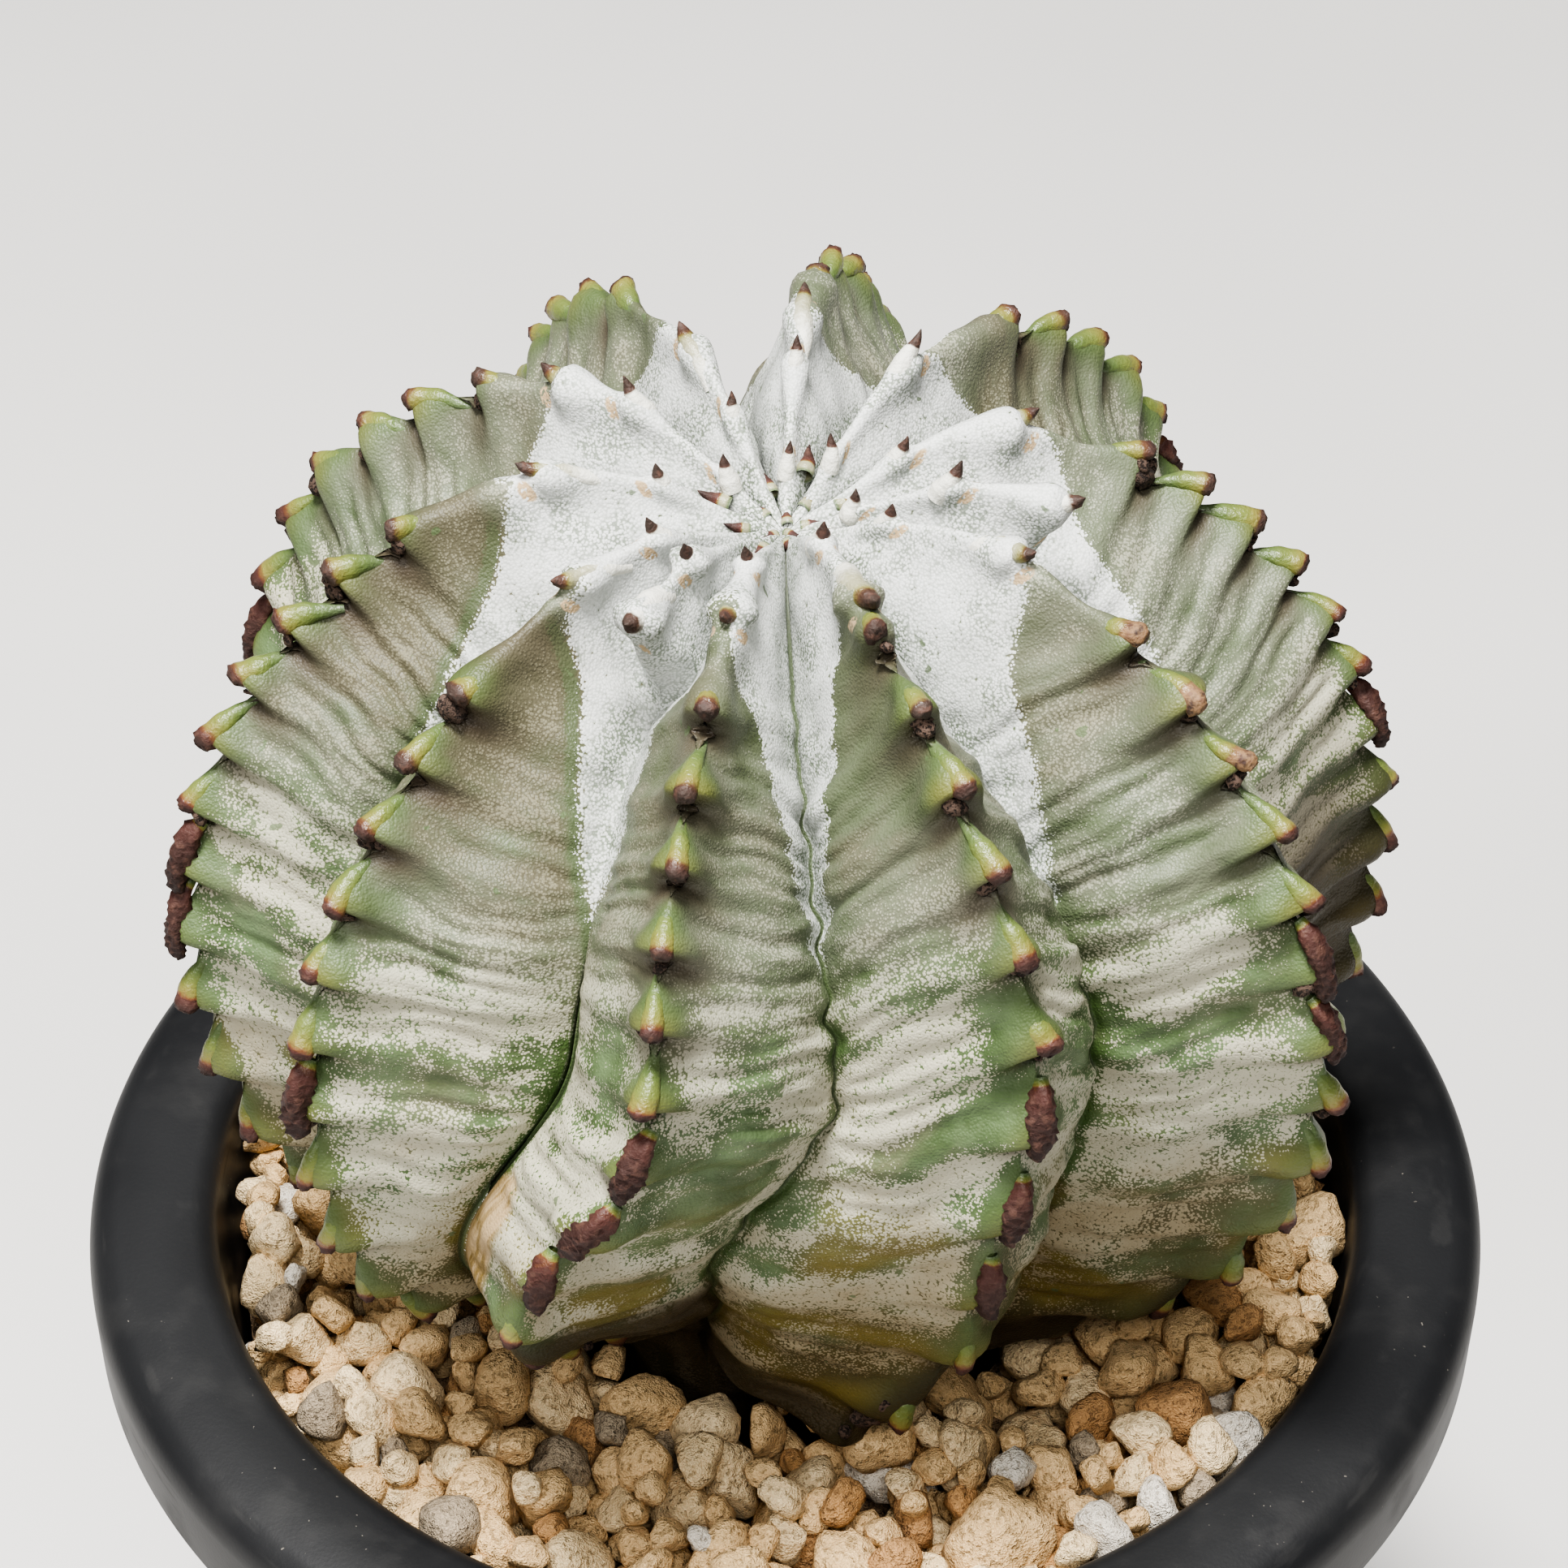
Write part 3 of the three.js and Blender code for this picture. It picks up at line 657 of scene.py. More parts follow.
def rib_angle(i, t):
    rib = rib_of(i)
    own = 360 * (i // len(RIBS)) + rib["turn"] + rib["lean"] * (t - LEAN_CENTRE)
    own = own + rib["swing"] * step(t, *SWING_SPAN) + rib["toe"][0] * step(t, *TOE_SPAN)
    if rib["ends"] > 1:
        return own
    between = (rib_angle(i - 1, t) + rib_angle(i + 1, t)) / 2
    return mix_of(own, between, step(t, rib["ends"], rib["ends"] + JOIN_LENGTH))


def foot_tuck(tuck, t):
    return tuck * step(t, *TUCK_SPAN)


def full_ridge(i, t):
    rib = rib_of(i)
    line = through(RIDGE_LINE, t)
    rise = rib["lift"] * np.sin(math.pi * t) + foot_tuck(rib["tuck"], t)
    radius = line[..., 0] * rib["reach"] + rib["toe"][1] * step(t, *TOE_SPAN)
    return np.stack([radius, line[..., 1] + rise], -1)


def furrow(i, t):
    """Angle and (radius, height) of the furrow between rib i and the next one."""
    rib, after = rib_of(i), rib_of(i + 1)
    here, following = rib_strength(i, t), rib_strength(i + 1, t)
    a, b = rib_angle(i, t), rib_angle(i + 1, t)
    gap = b - a + (1 - following) * (rib_angle(i + 2, t) - b)
    gap = gap + (1 - here) * (a - rib_angle(i - 1, t))
    depth = np.sqrt(np.minimum(1, gap / FULL_GAP)) * (1 - rib["fill"] * step(t, *FILL_SPAN))
    high, low = rib["shift"]
    aside = mix_of(high * step(t, *SHIFT_SPAN), low, step(t, *SWING_SPAN))
    crests = (full_ridge(i, t) + full_ridge(i + 1, t)) / 2
    bottom = through(FURROW_LINE, t)
    bottom[..., 1] += foot_tuck((rib["tuck"] + after["tuck"]) / 2, t)
    k = i % len(RIBS)
    wander = 0.42 * np.sin(t * 92 + 2.1 * k) + 0.3 * np.sin(t * 151 + 1.3 * k)
    wander = wander * step(t, 0.12, 0.3) * here * following
    angle = a + (b - a) * here / (here + following) + aside + wander
    return angle, mix_of(crests, bottom, depth[..., None])


def ridge(i, t):
    low = (furrow(i, t)[1] + furrow(i - 1, t)[1]) / 2
    kept = np.ones_like(t) if rib_of(i)["ends"] > 1 else rib_strength(i, t)
    return rib_angle(i, t), mix_of(low, full_ridge(i, t), kept[..., None])


def polar(radius, angle, height):
    a = np.radians(angle)
    return np.stack([radius * np.sin(a), -radius * np.cos(a), height + 0 * radius], -1)


FIRST_TOOTH = -0.085
TOOTH_SPACING = 0.053
CROWN_SPREAD = 0.27
CROWN_SPREAD_TEETH = 2.6
AFTER_CROWN = 0.045
BEFORE_END = 0.02
LAST_TOOTH = 0.97


def tooth_station(count):
    spread = CROWN_SPREAD * (1 - np.exp(-count / CROWN_SPREAD_TEETH))
    return FIRST_TOOTH + TOOTH_SPACING * count + spread


def teeth_of(i):
    """Where the teeth of rib i stand, from the crown down."""
    first, pitch = rib_of(i)["teeth"]
    last = min(rib_of(i)["ends"] - BEFORE_END, LAST_TOOTH)
    crown = rib_of(i)["crown"]
    spots = [tooth_station(first + pitch * k) for k in range(1, 60)]
    return np.array([*crown, *(t for t in spots if crown[-1] + AFTER_CROWN < t < last)])


def tooth_phase(i, t):
    """Rises by 1 from each tooth to the next one."""
    spots = teeth_of(i)
    before = spots[0] - np.array([3, 2, 1]) * (spots[1] - spots[0])
    after = spots[-1] + np.arange(1, 30) * (spots[-1] - spots[-2])
    knots = np.concatenate([before, spots, after])
    return np.interp(t, knots, np.arange(len(knots)) - 3)


def tooth_size(t):
    return mix_of(0.5, 1, step(t, 0.05, 0.2))


NOTCH_AT = 0.14
NOTCH_END = 0.16


def saw(part_way):
    """The crest climbs from each notch to the next tooth, and drops behind it."""
    drop = 1 - 2 * step(part_way, 0, NOTCH_END)
    return np.where(part_way < NOTCH_END, drop, -1 + 2 * step(part_way, NOTCH_AT, 0.98) ** 0.9)


# The two flanks of each rib, from the furrow up to the crest. Each point also keeps its rib, its
# place on the flank, and its distance from furrow, crest and teeth.
t = np.linspace(0, 1, BODY_ROWS)[:, None]
crest_round = mix_of(CROWN_ROUND, CREST_ROUND, step(t, 0.09, 0.28))
columns, owner, share, before_crest = [], [], [], []
from_crest, from_furrow, past, ahead = [], [], [], []
for i, rib in enumerate(RIBS):
    count = FULL_COLUMNS if rib["ends"] > 1 else SHORT_COLUMNS
    even = np.arange(count + 1) / count
    s = 0.5 * even + 0.5 * (0.5 - 0.5 * np.cos(math.pi * even))
    crest_angle, crest_line = ridge(i, t)
    sides = []
    for side in (i - 1, i):
        low_angle, low_line = furrow(side, t)
        left = 1 - (s + FLANK_BULGE * np.sin(FULL_TURN * s))[None]
        soft = np.hypot(left, crest_round) - crest_round
        soft = soft / (np.hypot(1, crest_round) - crest_round)
        line = mix_of(low_line, crest_line, (1 - soft)[..., None])
        angle = mix_of(low_angle, crest_angle, s[None])
        flank = polar(line[..., 0], angle, POT_HEIGHT + line[..., 1])
        run = np.cumsum(np.linalg.norm(np.diff(flank, axis=1), axis=2), axis=1)
        run = np.concatenate([np.zeros((len(t), 1)), run], 1)
        sides.append((flank, run, run[:, -1:] - run))
    (one, up, down), (two, up_two, down_two) = sides
    back = slice(count - 1, 0, -1)
    columns += [one, two[:, back]]
    from_furrow += [up, up_two[:, back]]
    from_crest += [down, down_two[:, back]]
    share += [s, s[back]]
    owner += [i] * (2 * count)
    before_crest += [1.0] * (count + 1) + [0.0] * (count - 1)
    top = one[:, -1]
    run = np.append(0, np.cumsum(np.linalg.norm(np.diff(top, axis=0), axis=1)))
    seats = np.interp(teeth_of(i), t[:, 0], run)
    known = np.concatenate([[-99], seats, [run[-1] + 99]])
    place = np.searchsorted(known, run, side="right") - 1
    past.append(run - known[place])
    ahead.append(known[place + 1] - run)
base = np.concatenate(columns, 1)
from_furrow = np.concatenate(from_furrow, 1)
from_crest = np.concatenate(from_crest, 1)
share = np.concatenate(share)[None]
owner = np.array(owner)
before_crest = np.array(before_crest)[None]
past = np.array(past)[owner].T
ahead = np.array(ahead)[owner].T


def surface_normals(grid):
    down_rows = np.gradient(grid, axis=0)
    across = (np.roll(grid, -1, axis=1) - np.roll(grid, 1, axis=1)) / 2
    normal = np.cross(down_rows, across)
    return normal / np.maximum(np.linalg.norm(normal, axis=2), 1e-9)[..., None]


# How high each form stands out of the plain flank, in millimetres: the steps of the crest, the cut
# behind each tooth, the ridge and nipples at the crown, the swellings and fine ripples between the
# teeth, the wrinkles of the whole skin, the groove of the furrow, and what fills the valley that
# a short rib leaves.
CREST_STEP = 1.08
CUT_DEPTH = 0.75
CROWN_RIDGE = 0.55
NIPPLE = 1.35
SWELLING = 0.40
RIPPLE = 0.14
WRINKLE = 0.30
FINE_WRINKLE = 0.07
GROOVE = 0.35
VALLEY_FILL = 0.9

every_rib = range(len(RIBS))
normal = surface_normals(base)
angle_of = np.arctan2(base[-1, :, 0], -base[-1, :, 1])
full = np.ones(len(t))
strength = [full if RIBS[i]["ends"] > 1 else rib_strength(i, t[:, 0]) for i in every_rib]
strength = np.stack(strength)[owner].T
phase = np.stack([tooth_phase(i, t[:, 0]) for i in every_rib])[owner].T
size = tooth_size(t)
lag = 0.11 * waves(base, 9, 3) * step(from_crest, 1.5, 8) - 0.005 * from_crest
beat = phase - 0.12 + lag
part_way = beat - np.floor(beat)
climbing = part_way > NOTCH_END
active = strength * step(t, 0.0, 0.05)
grown = step(t, 0.17, 0.26)
near_crest = bell(from_crest, 1.5)

crest_steps = CREST_STEP * size * active * near_crest * saw(part_way) * grown
cut = bell(part_way - NOTCH_AT, 0.065) * bell(from_crest, 1.7) * grown * active
crown_ridge = bell(from_crest, 0.8 + 1.3 * size) * (1 - grown) * active * step(t, 0.01, 0.06)
nipple = bell(ahead, 2.4) + bell(past, 0.9)
nipple = nipple * bell(from_crest, 0.9 + 1.2 * size) * (1 - grown) * active
nipple = nipple * (1 + 0.6 * (owner == SHORT_LEFT)[None])

# A cheek of soft flesh swells under each tooth, on some more than on others.
lobe = np.where(climbing, step(part_way, 0.30, 0.80), 1 - step(part_way, 0.02, 0.12))
cheek_depth = np.where(owner == RIGHT, 4.6, 3.4)[None]
uneven = np.sin(12.9898 * np.round(beat) + 78.233 * owner[None] + 37.7 * before_crest) * 43.7585
uneven = uneven - np.floor(uneven)
cheek = lobe * bell(from_crest, cheek_depth) * step(t, 0.20, 0.36) * active
cheek = cheek * (0.35 + 0.75 * uneven) * (0.35 + 0.20 * cheek_depth) * (1 - near_crest)

swell = np.cos(FULL_TURN * (beat + 0.08)) + 0.40 * np.cos(2 * FULL_TURN * (beat + 0.1))
swell = swell * active * (1 - near_crest) * grown
swell = swell * step(from_furrow, 0.6, 5) * np.exp(-from_crest / 16)
ripple = np.sin(FULL_TURN * (3 * beat + 0.25 * waves(base, 4, 21)))
ripple = ripple * (0.65 + 0.45 * waves(base, 10, 22))
ripple = ripple * step(from_furrow, 0.8, 3) * step(from_crest, 1.5, 4.5)
ripple = ripple * step(t, 0.2, 0.34) * (1 - step(t, 0.86, 0.96))
wrinkle = waves(base, 7, 5) * step(from_furrow, 0.5, 4) * step(t, 0.03, 0.15)
fine_wrinkle = waves(base, 2.2, 6) * step(from_furrow, 0.3, 2) * step(t, 0.03, 0.1)
groove = bell(from_furrow, 0.40) * step(t, 0.05, 0.12) * step(strength, 0.2, 1)
valley = ((owner == LEFT) & (before_crest[0] == 0)) | (owner == SHORT_LEFT)
valley = (valley | ((owner == FRONT) & (before_crest[0] > 0)))[None]
valley = valley * step(t, 0.15, 0.22) * (1 - step(t, 0.40, 0.60))

lift = crest_steps - CUT_DEPTH * cut + CROWN_RIDGE * size * crown_ridge + NIPPLE * size * nipple
lift = lift + cheek + SWELLING * swell + RIPPLE * ripple
lift = lift + WRINKLE * wrinkle + FINE_WRINKLE * fine_wrinkle - GROOVE * groove
lift = lift + VALLEY_FILL * bell(from_furrow, 1.6) * valley
kept = 1 - (1 - strength) * bell(from_crest, 3.5) * (1 - valley)
body = base + normal * (lift * kept)[..., None]

# The crown closes over its centre, and the neck and taproot go on below the ribs.
centre = np.array((0, 0, POT_HEIGHT + CROWN_HEIGHT))
crown_rows = [mix_of(centre, body[0], u)[None] for u in (0, 0.3, 0.6, 0.85)]
neck_rings = [
    polar(np.full(len(owner), r), np.degrees(angle_of), POT_HEIGHT + z) for r, z in NECK_LINE
]
neck_rings.append(np.tile((0.0, 0.0, POT_HEIGHT + ROOT_TIP), (len(owner), 1)))
neck_rows = [mix_of(body[-1], neck_rings[0], u)[None] for u in (0.25, 0.5, 0.75)]
neck_rows += [ring[None] for ring in neck_rings]
body = np.concatenate([*crown_rows, body, *neck_rows])

# Where the chalky bloom, the bare green and the stains lie, at each point. The young skin reaches
# from the furrow to this share of the flank: it is as old as the place where it left the crown.
YOUNG_EDGE = [
    (0, 1.5), (0.14, 1.12), (0.18, 0.88), (0.21, 0.68), (0.245, 0.47), (0.29, 0.34), (0.35, 0.21),
    (0.41, 0.11), (0.49, -0.02), (1, -0.3),
]
each_flank = np.stack([owner * 1.7, before_crest[0] * 3.1], -1)
age = t + 0.014 * waves(each_flank, 2, 12)[None] + 0.004 * waves(base, 6, 8)
edge = np.interp(age, *zip(*YOUNG_EDGE))
short = np.array([RIBS[i]["ends"] < 1 for i in owner])[None]
edge = edge + 0.6 * strength * short
inside = (edge - share * strength) * (from_crest + from_furrow)
young = step(inside, -1.3, 1.0)
band_width = mix_of(1.1, 0.55, step(t, 0.22, 0.36))
border = bell(inside + 0.9 * band_width, band_width) * step(t, 0.17, 0.21) * strength

# Round each tooth: a notch behind it painted dark brown and deepened as painted shade, a stain
# under it that also carries painted shadow, a scar at the crown, bare green flesh that carries it,
# and a yellow tinge towards its tip that is partly a painted glow of light through the flesh.
# Behind each tooth the skin is painted dark brown: dry tissue, deepened as painted shade under the
# cap.
notch = bell(from_crest, 2.2) * bell(part_way - NOTCH_AT, 0.10) * grown * active
# Under each tooth a brown stain, darkened further as painted shadow below the tooth.
stain = bell(from_crest - 2.0, 3.2) * bell(part_way - 0.24, 0.20)
stain = stain * grown * active * (1 - step(t, 0.45, 0.65))
scar = np.exp(-(((from_crest - 0.9) / 0.75) ** 4))
scar = scar * np.exp(-(((past - 1.9 * (0.5 + size / 2)) / 0.50) ** 4))
scar = scar * (1 - grown) * active * step(t, 0.02, 0.05)
flesh = lobe**2 * bell(from_crest, 0.70 * cheek_depth) * (0.6 + 0.5 * uneven)
seam = step(part_way, 0.25, 0.5) * bell(from_crest, 1.6)
flesh = np.maximum(flesh, seam) * step(t, 0.21, 0.29) * active
# Yellow towards each tooth's tip: partly the flesh's own tint, partly a painted glow of light
# through it.
tipward = np.where(climbing, step(part_way, 0.62, 0.97), 1)
tipward = tipward * bell(from_crest, 1.8) * step(t, 0.24, 0.34) * active * (0.2 + 0.8 * uneven)

# From this place down the underside is painted dark with soil and painted shade. Some flanks are
# torn, some bare, and some browned on the shoulder with painted shade.
DARK_UNDERSIDE_FROM = {FRONT: 0.80, FRONT_RIGHT: 0.935, LEFT: 0.87, SHORT_LEFT: 0.83}
USUAL_DARK_UNDERSIDE_FROM = 0.91
foot_scar = bell(from_furrow - 2.8, 2.9) * step(t, 0.68, 0.76) * (1 - step(t, 0.84, 0.90))
foot_scar = foot_scar * (owner == FRONT)[None] * before_crest
dark_underside_from = np.array([DARK_UNDERSIDE_FROM.get(i, USUAL_DARK_UNDERSIDE_FROM) for i in owner])[None]
under = step(t, dark_underside_from, dark_underside_from + 0.07)
# The far-right flank's lower half gets a painted shadow, where the rib beside it would shade it.
shaded = step(t, 0.50, 0.70) * (owner == FAR_RIGHT)[None] * before_crest
under = np.maximum(under, 0.75 * shaded)
dry_edge = bell(from_crest, 2.4 + 1.2 * uneven) * step(t, 0.86, 0.93)
under = np.maximum(under, 0.85 * dry_edge)
bare = (owner == FRONT_RIGHT)[None] * before_crest
bare = bare * step(t, 0.17, 0.20) * (1 - step(t, 0.30, 0.50))
# How brown each flank's shoulder is painted: partly the skin's tint, partly painted shade on that
# side.
sun = np.array([RIBS[i]["sun"] for i in owner])
sun = np.where(before_crest[0] > 0, sun[:, 0], sun[:, 1])[None]
border = border * (0.30 + 0.70 * step(sun, 0.6, 0.8))
sun = sun * step(t, 0.16, 0.22) * (1 - step(t, 0.36, 0.58))
burnt = sun * bell(from_crest, 8.5) * (1 - step(t, 0.28, 0.44))
slant = np.stack([from_furrow / 9, beat * 2.0, owner[None] * 7.0 + 4.0 * before_crest + 0 * t], -1)
band = waves(slant, 1.0, 14)
yellowed = step(waves(base, 7, 15), 0.0, 0.9) * step(t, 0.66, 0.78)

# The larger patches where the bloom is rubbed off, or lies thick: rib, 1 for the flank before the
# crest, place down the rib, place up the flank, half sizes, slant, and how much bloom is lost.
WEAR = [
    (LEFT, 0, 0.645, 0.45, 0.026, 0.26, 0.0, 0.85),
    (LEFT, 0, 0.57, 0.50, 0.030, 0.40, 0.0, -0.25),
    (LEFT, 0, 0.75, 0.50, 0.060, 0.50, 0.0, -0.55),
    (FAR_LEFT, 0, 0.65, 0.60, 0.016, 0.45, -0.12, 0.80),
    (FAR_LEFT, 0, 0.56, 0.60, 0.030, 0.40, 0.0, -0.20),
    (FRONT_RIGHT, 1, 0.675, 0.60, 0.020, 0.45, -0.06, 0.85),
    (FRONT_RIGHT, 1, 0.60, 0.45, 0.030, 0.35, 0.0, -0.40),
    (FRONT_RIGHT, 1, 0.73, 0.60, 0.025, 0.35, 0.0, -0.30),
    (FRONT, 0, 0.66, 0.45, 0.050, 0.35, 0.0, 0.50),
    (FRONT, 1, 0.70, 0.55, 0.060, 0.50, 0.0, -0.60),
    (RIGHT, 1, 0.50, 0.65, 0.020, 0.30, -0.04, 0.55),
    (RIGHT, 1, 0.56, 0.40, 0.022, 0.30, 0.0, -0.40),
    (RIGHT, 1, 0.62, 0.65, 0.020, 0.35, -0.04, 0.55),
    (RIGHT, 1, 0.69, 0.40, 0.030, 0.40, 0.0, -0.25),
]
wear = np.zeros(young.shape)
for rib, side, down_at, up_at, down_half, up_half, slant_by, lost in WEAR:
    across = share - up_at
    down_rib = t - down_at - slant_by * across
    there = bell(down_rib, down_half) * bell(across, up_half)
    wear += lost * there * ((owner == rib) & (before_crest[0] == side))[None]

RIB_LENGTH = 118
fields = {
    "wear": wear, "young": young, "border": border, "notch": notch, "stain": stain, "scar": scar,
    "flesh": flesh, "tipward": tipward, "foot_scar": foot_scar, "sun": sun, "burnt": burnt,
    "band": band, "yellowed": yellowed, "bare": bare, "under": under, "down": t + 0 * young,
    "from_furrow": from_furrow,
    "skin_place": np.stack(
        [from_furrow, t * RIB_LENGTH + 0 * young, owner[None] * 40.0 + 0 * young], -1
    ),
}


def with_ends(values):
    """The values of the body's first and last rows, also for the crown and the neck."""
    crown, neck = len(crown_rows), len(neck_rows)
    return np.concatenate([values[:1].repeat(crown, 0), values, values[-1:].repeat(neck, 0)])


fields = {key: with_ends(values) for key, values in fields.items()}

# The skin's cells in mm, and the most of it that the old crust may cover.
CELL_SIZE = 0.23
MOST_CRUST = 0.87


def skin(w):
    down = w.field("down")
    border = w.field("border")
    flesh = w.field("flesh")
    sun = w.field("sun")
    to_furrow = w.field("from_furrow")
    at = w.field("skin_place", output=1)
    cells = w.node(
        "ShaderNodeTexVoronoi", {"feature": "F1"},
        {"Vector": w.place(), "Scale": 1 / CELL_SIZE, "Randomness": 1.0},
    )
    clump = w.grain(0.75, detail=4, rough=0.70)
    patch = w.grain(4.6, detail=5, at=at, stretch=(1.3, 1.0, 1), rough=0.60)
    broad = w.grain(15, detail=2)
    tone = w.grain(4, detail=3).rise(0.32, 0.68)

    worn = 0.78 * cells + 0.50 * clump
    young = (w.field("young") - 0.5 + 1.1 * (0.58 - worn)).rise(-0.07, 0.07)

    # The flesh itself: dull green, brown on the shoulders as tint and painted shade, olive at the
    # foot.
    low = down.rise(0.44, 0.62)
    young_green = tone.blend((0.062, 0.086, 0.040), (0.112, 0.145, 0.078))
    green = low.blend(young_green, tone.blend((0.068, 0.105, 0.042), (0.130, 0.185, 0.092)))
    vivid = (0.8 * (1 - to_furrow.rise(0.5, 2.0)) * low).blend(green, (0.066, 0.118, 0.034))
    tanned_and_shaded = (0.9 * w.field("burnt")).blend(vivid, (0.085, 0.064, 0.040))
    bare = w.field("bare")
    foot = (down + 0.40 * (broad - 0.5) + 0.30 * (patch - 0.5)).rise(0.72, 0.92)
    olive = (0.85 * foot).blend(tanned_and_shaded, (0.100, 0.074, 0.032))
    yellow = (0.75 * w.field("yellowed")).blend(olive, (0.190, 0.150, 0.040))
    lobe = (0.85 * flesh).blend(yellow, (0.098, 0.140, 0.055))
    # Yellow near the tooth tips, partly a painted glow of light through the flesh.
    ripe = (0.70 * w.field("tipward")).blend(lobe, (0.200, 0.190, 0.055))

    # The bloom: a thin beige haze high on the flank, and lower down a cream crust that the years
    # have rubbed off in patches, down to single specks.
    spread = 2.0 * (patch - 0.5) + 0.09 * w.field("band") + 0.5 * (broad - 0.5)
    crust = 0.52 + 0.22 * low + (0.60 + 0.60 * low) * spread - 0.40 * bare
    crust = crust - 0.85 * w.field("wear")
    crust = crust - 0.25 * w.field("stain") - 0.32 * (1 - to_furrow.rise(0.4, 1.8)) * low
    crust = crust - 0.75 * flesh - 0.10 * w.field("burnt") - 0.10 * foot - 0.38 * border
    crust = crust - 0.20 * w.field("yellowed")
    crust = crust.maths("MINIMUM", crust, MOST_CRUST)
    fresh_cover = 1.02 + 0.45 * (patch - 0.5) - 0.20 * border
    fresh_cover = fresh_cover - 0.9 * (1 - to_furrow.rise(0.12, 0.45))
    cover = crust + (fresh_cover - crust) * young
    speck = (cover - worn * 1.12 + 0.06).rise(-0.10, 0.08)
    film = 0.62 - 0.34 * low + 1.1 * (broad - 0.5) + 1.6 * (patch - 0.5)
    film = film * (1 - 0.8 * flesh) * (1 - 0.45 * bare) * (1 - 0.30 * foot)
    # Haze and crust turn darker brown on such shoulders, partly as painted shade.
    browned_and_shaded = (sun + 1.3 * (broad - 0.5) + 1.2 * (patch - 0.5)).rise(0.05, 0.95)
    dusky = browned_and_shaded.blend((0.190, 0.205, 0.150), (0.122, 0.112, 0.074))
    earthy = foot.blend(low.blend(dusky, (0.175, 0.175, 0.110)), (0.120, 0.092, 0.045))
    haze = (film.rise(0.05, 0.85) * (1 - 0.8 * border) + 0.15 * young).blend(ripe, earthy)
    old_beige = browned_and_shaded.blend((0.395, 0.395, 0.320), (0.262, 0.245, 0.170))
    beige = foot.blend(low.blend(old_beige, (0.465, 0.442, 0.350)), (0.340, 0.290, 0.192))
    white = young.blend(beige, (0.660, 0.670, 0.662))
    line = (0.95 * border - 0.8 * worn).rise(-0.15, 0.15)
    lined = (line * 0.7).blend(haze, (0.090, 0.116, 0.060))
    thick = 0.94 - 0.20 * (1 - low) * (1 - young) - 0.20 * sun
    bloomed = (speck * thick).blend(lined, white)
    thin_and_valley_shade = w.grain(4.5, detail=3, rough=0.6).rise(0.42, 0.64)
    # Towards the furrow the grey cracks grow dense: painted shade deep in the valleys.
    thin_and_valley_shade = thin_and_valley_shade + 0.6 * (1 - to_furrow.rise(1.0, 6.0))
    cracks = cells.rise(0.38, 0.65) * (0.22 + 0.62 * thin_and_valley_shade)
    pored = (cracks * young).blend(bloomed, (0.190, 0.220, 0.172))

    # Stains that carry painted shadow, creases and notches darkened as painted shade, scars, torn
    # and rubbed skin, and the underside painted dark with soil and painted shade.
    # Brown stain under the teeth, which also stands in for the shadow each tooth casts.
    brown = 0.78 * w.field("stain") * broad.rise(0.2, 0.55)
    stained_and_shaded = brown.blend(pored, (0.078, 0.058, 0.042))
    # The floor of each furrow painted dark green: bare skin there, darkened as painted shade in the
    # crease.
    bottom = (1 - to_furrow.rise(0.10, 0.34)) * down.rise(0.07, 0.16)
    crease_shaded = (0.85 * bottom).blend(stained_and_shaded, (0.055, 0.080, 0.030))
    # The notch painted dark brown, partly as painted shade under each cap.
    notch_shaded = (w.field("notch") * 0.85).blend(crease_shaded, (0.045, 0.030, 0.022))
    pores = w.grain(0.34, detail=1).rise(0.36, 0.46)
    scarred = (w.field("scar").rise(0.25, 0.5) * pores).blend(notch_shaded, (0.47, 0.35, 0.22))
    ochre = w.grain(1.6, detail=3, at=at, stretch=(0.5, 3, 1)).rise(0.35, 0.6)
    torn = ochre.blend((0.21, 0.135, 0.035), (0.42, 0.30, 0.17))
    tear = (w.field("foot_scar") + 0.5 * (patch - 0.5)).rise(0.2, 0.5)
    rough = (0.9 * tear).blend(scarred, torn)
    chips = w.grain(2.3, detail=3).rise(0.715, 0.73)
    chipped = (0.8 * chips).blend(rough, (0.105, 0.145, 0.070))
    # The underside painted near black: soil, and painted shade under the overhanging feet.
    soil_and_shade_cover = (w.field("under") * (0.55 + 0.9 * broad)).rise(0.1, 0.8)
    final = (0.9 * soil_and_shade_cover).blend(chipped, (0.044, 0.032, 0.018))

    folds = w.grain(0.9, detail=3, at=at, stretch=(1.8, 0.8, 1))
    prints = w.grain(0.24, detail=1, at=at, stretch=(3.5, 0.8, 1)) * (1 - w.field("young"))
    height = 0.30 * (1 - cells) + 0.32 * folds + 0.18 * clump + 0.12 * prints
    return {
        "Base Color": final,
        "Roughness": 0.44 + 0.22 * speck,
        "Normal": w.bump(height, 0.17),
    }


def part_of(grid, first, last):
    """The columns from the furrow before one rib to the furrow before another."""
    picked = np.flatnonzero((owner >= first) & (owner < last))
    ends = np.append(picked, (picked[-1] + 1) % len(owner))
    return grid[:, ends]


skin_finish = finish("bloomed_skin", skin, Specular_IOR_Level=0.35)
for name, first, last in (("front_ribs", 0, 4), ("back_ribs", 4, 8), ("left_ribs", 8, 12)):
    grid = part_of(body, first, last)
    rows, width = grid.shape[:2]
    number = np.arange(rows * width).reshape(rows, width)
    faces = np.stack(
        [number[:-1, :-1], number[1:, :-1], number[1:, 1:], number[:-1, 1:]], -1
    ).reshape(-1, 4)
    stored = {
        key: part_of(values, first, last).reshape(rows * width, *values.shape[2:])
        for key, values in fields.items()
    }
    piece(name, grid.reshape(-1, 3), faces, skin_finish, "plant", stored)

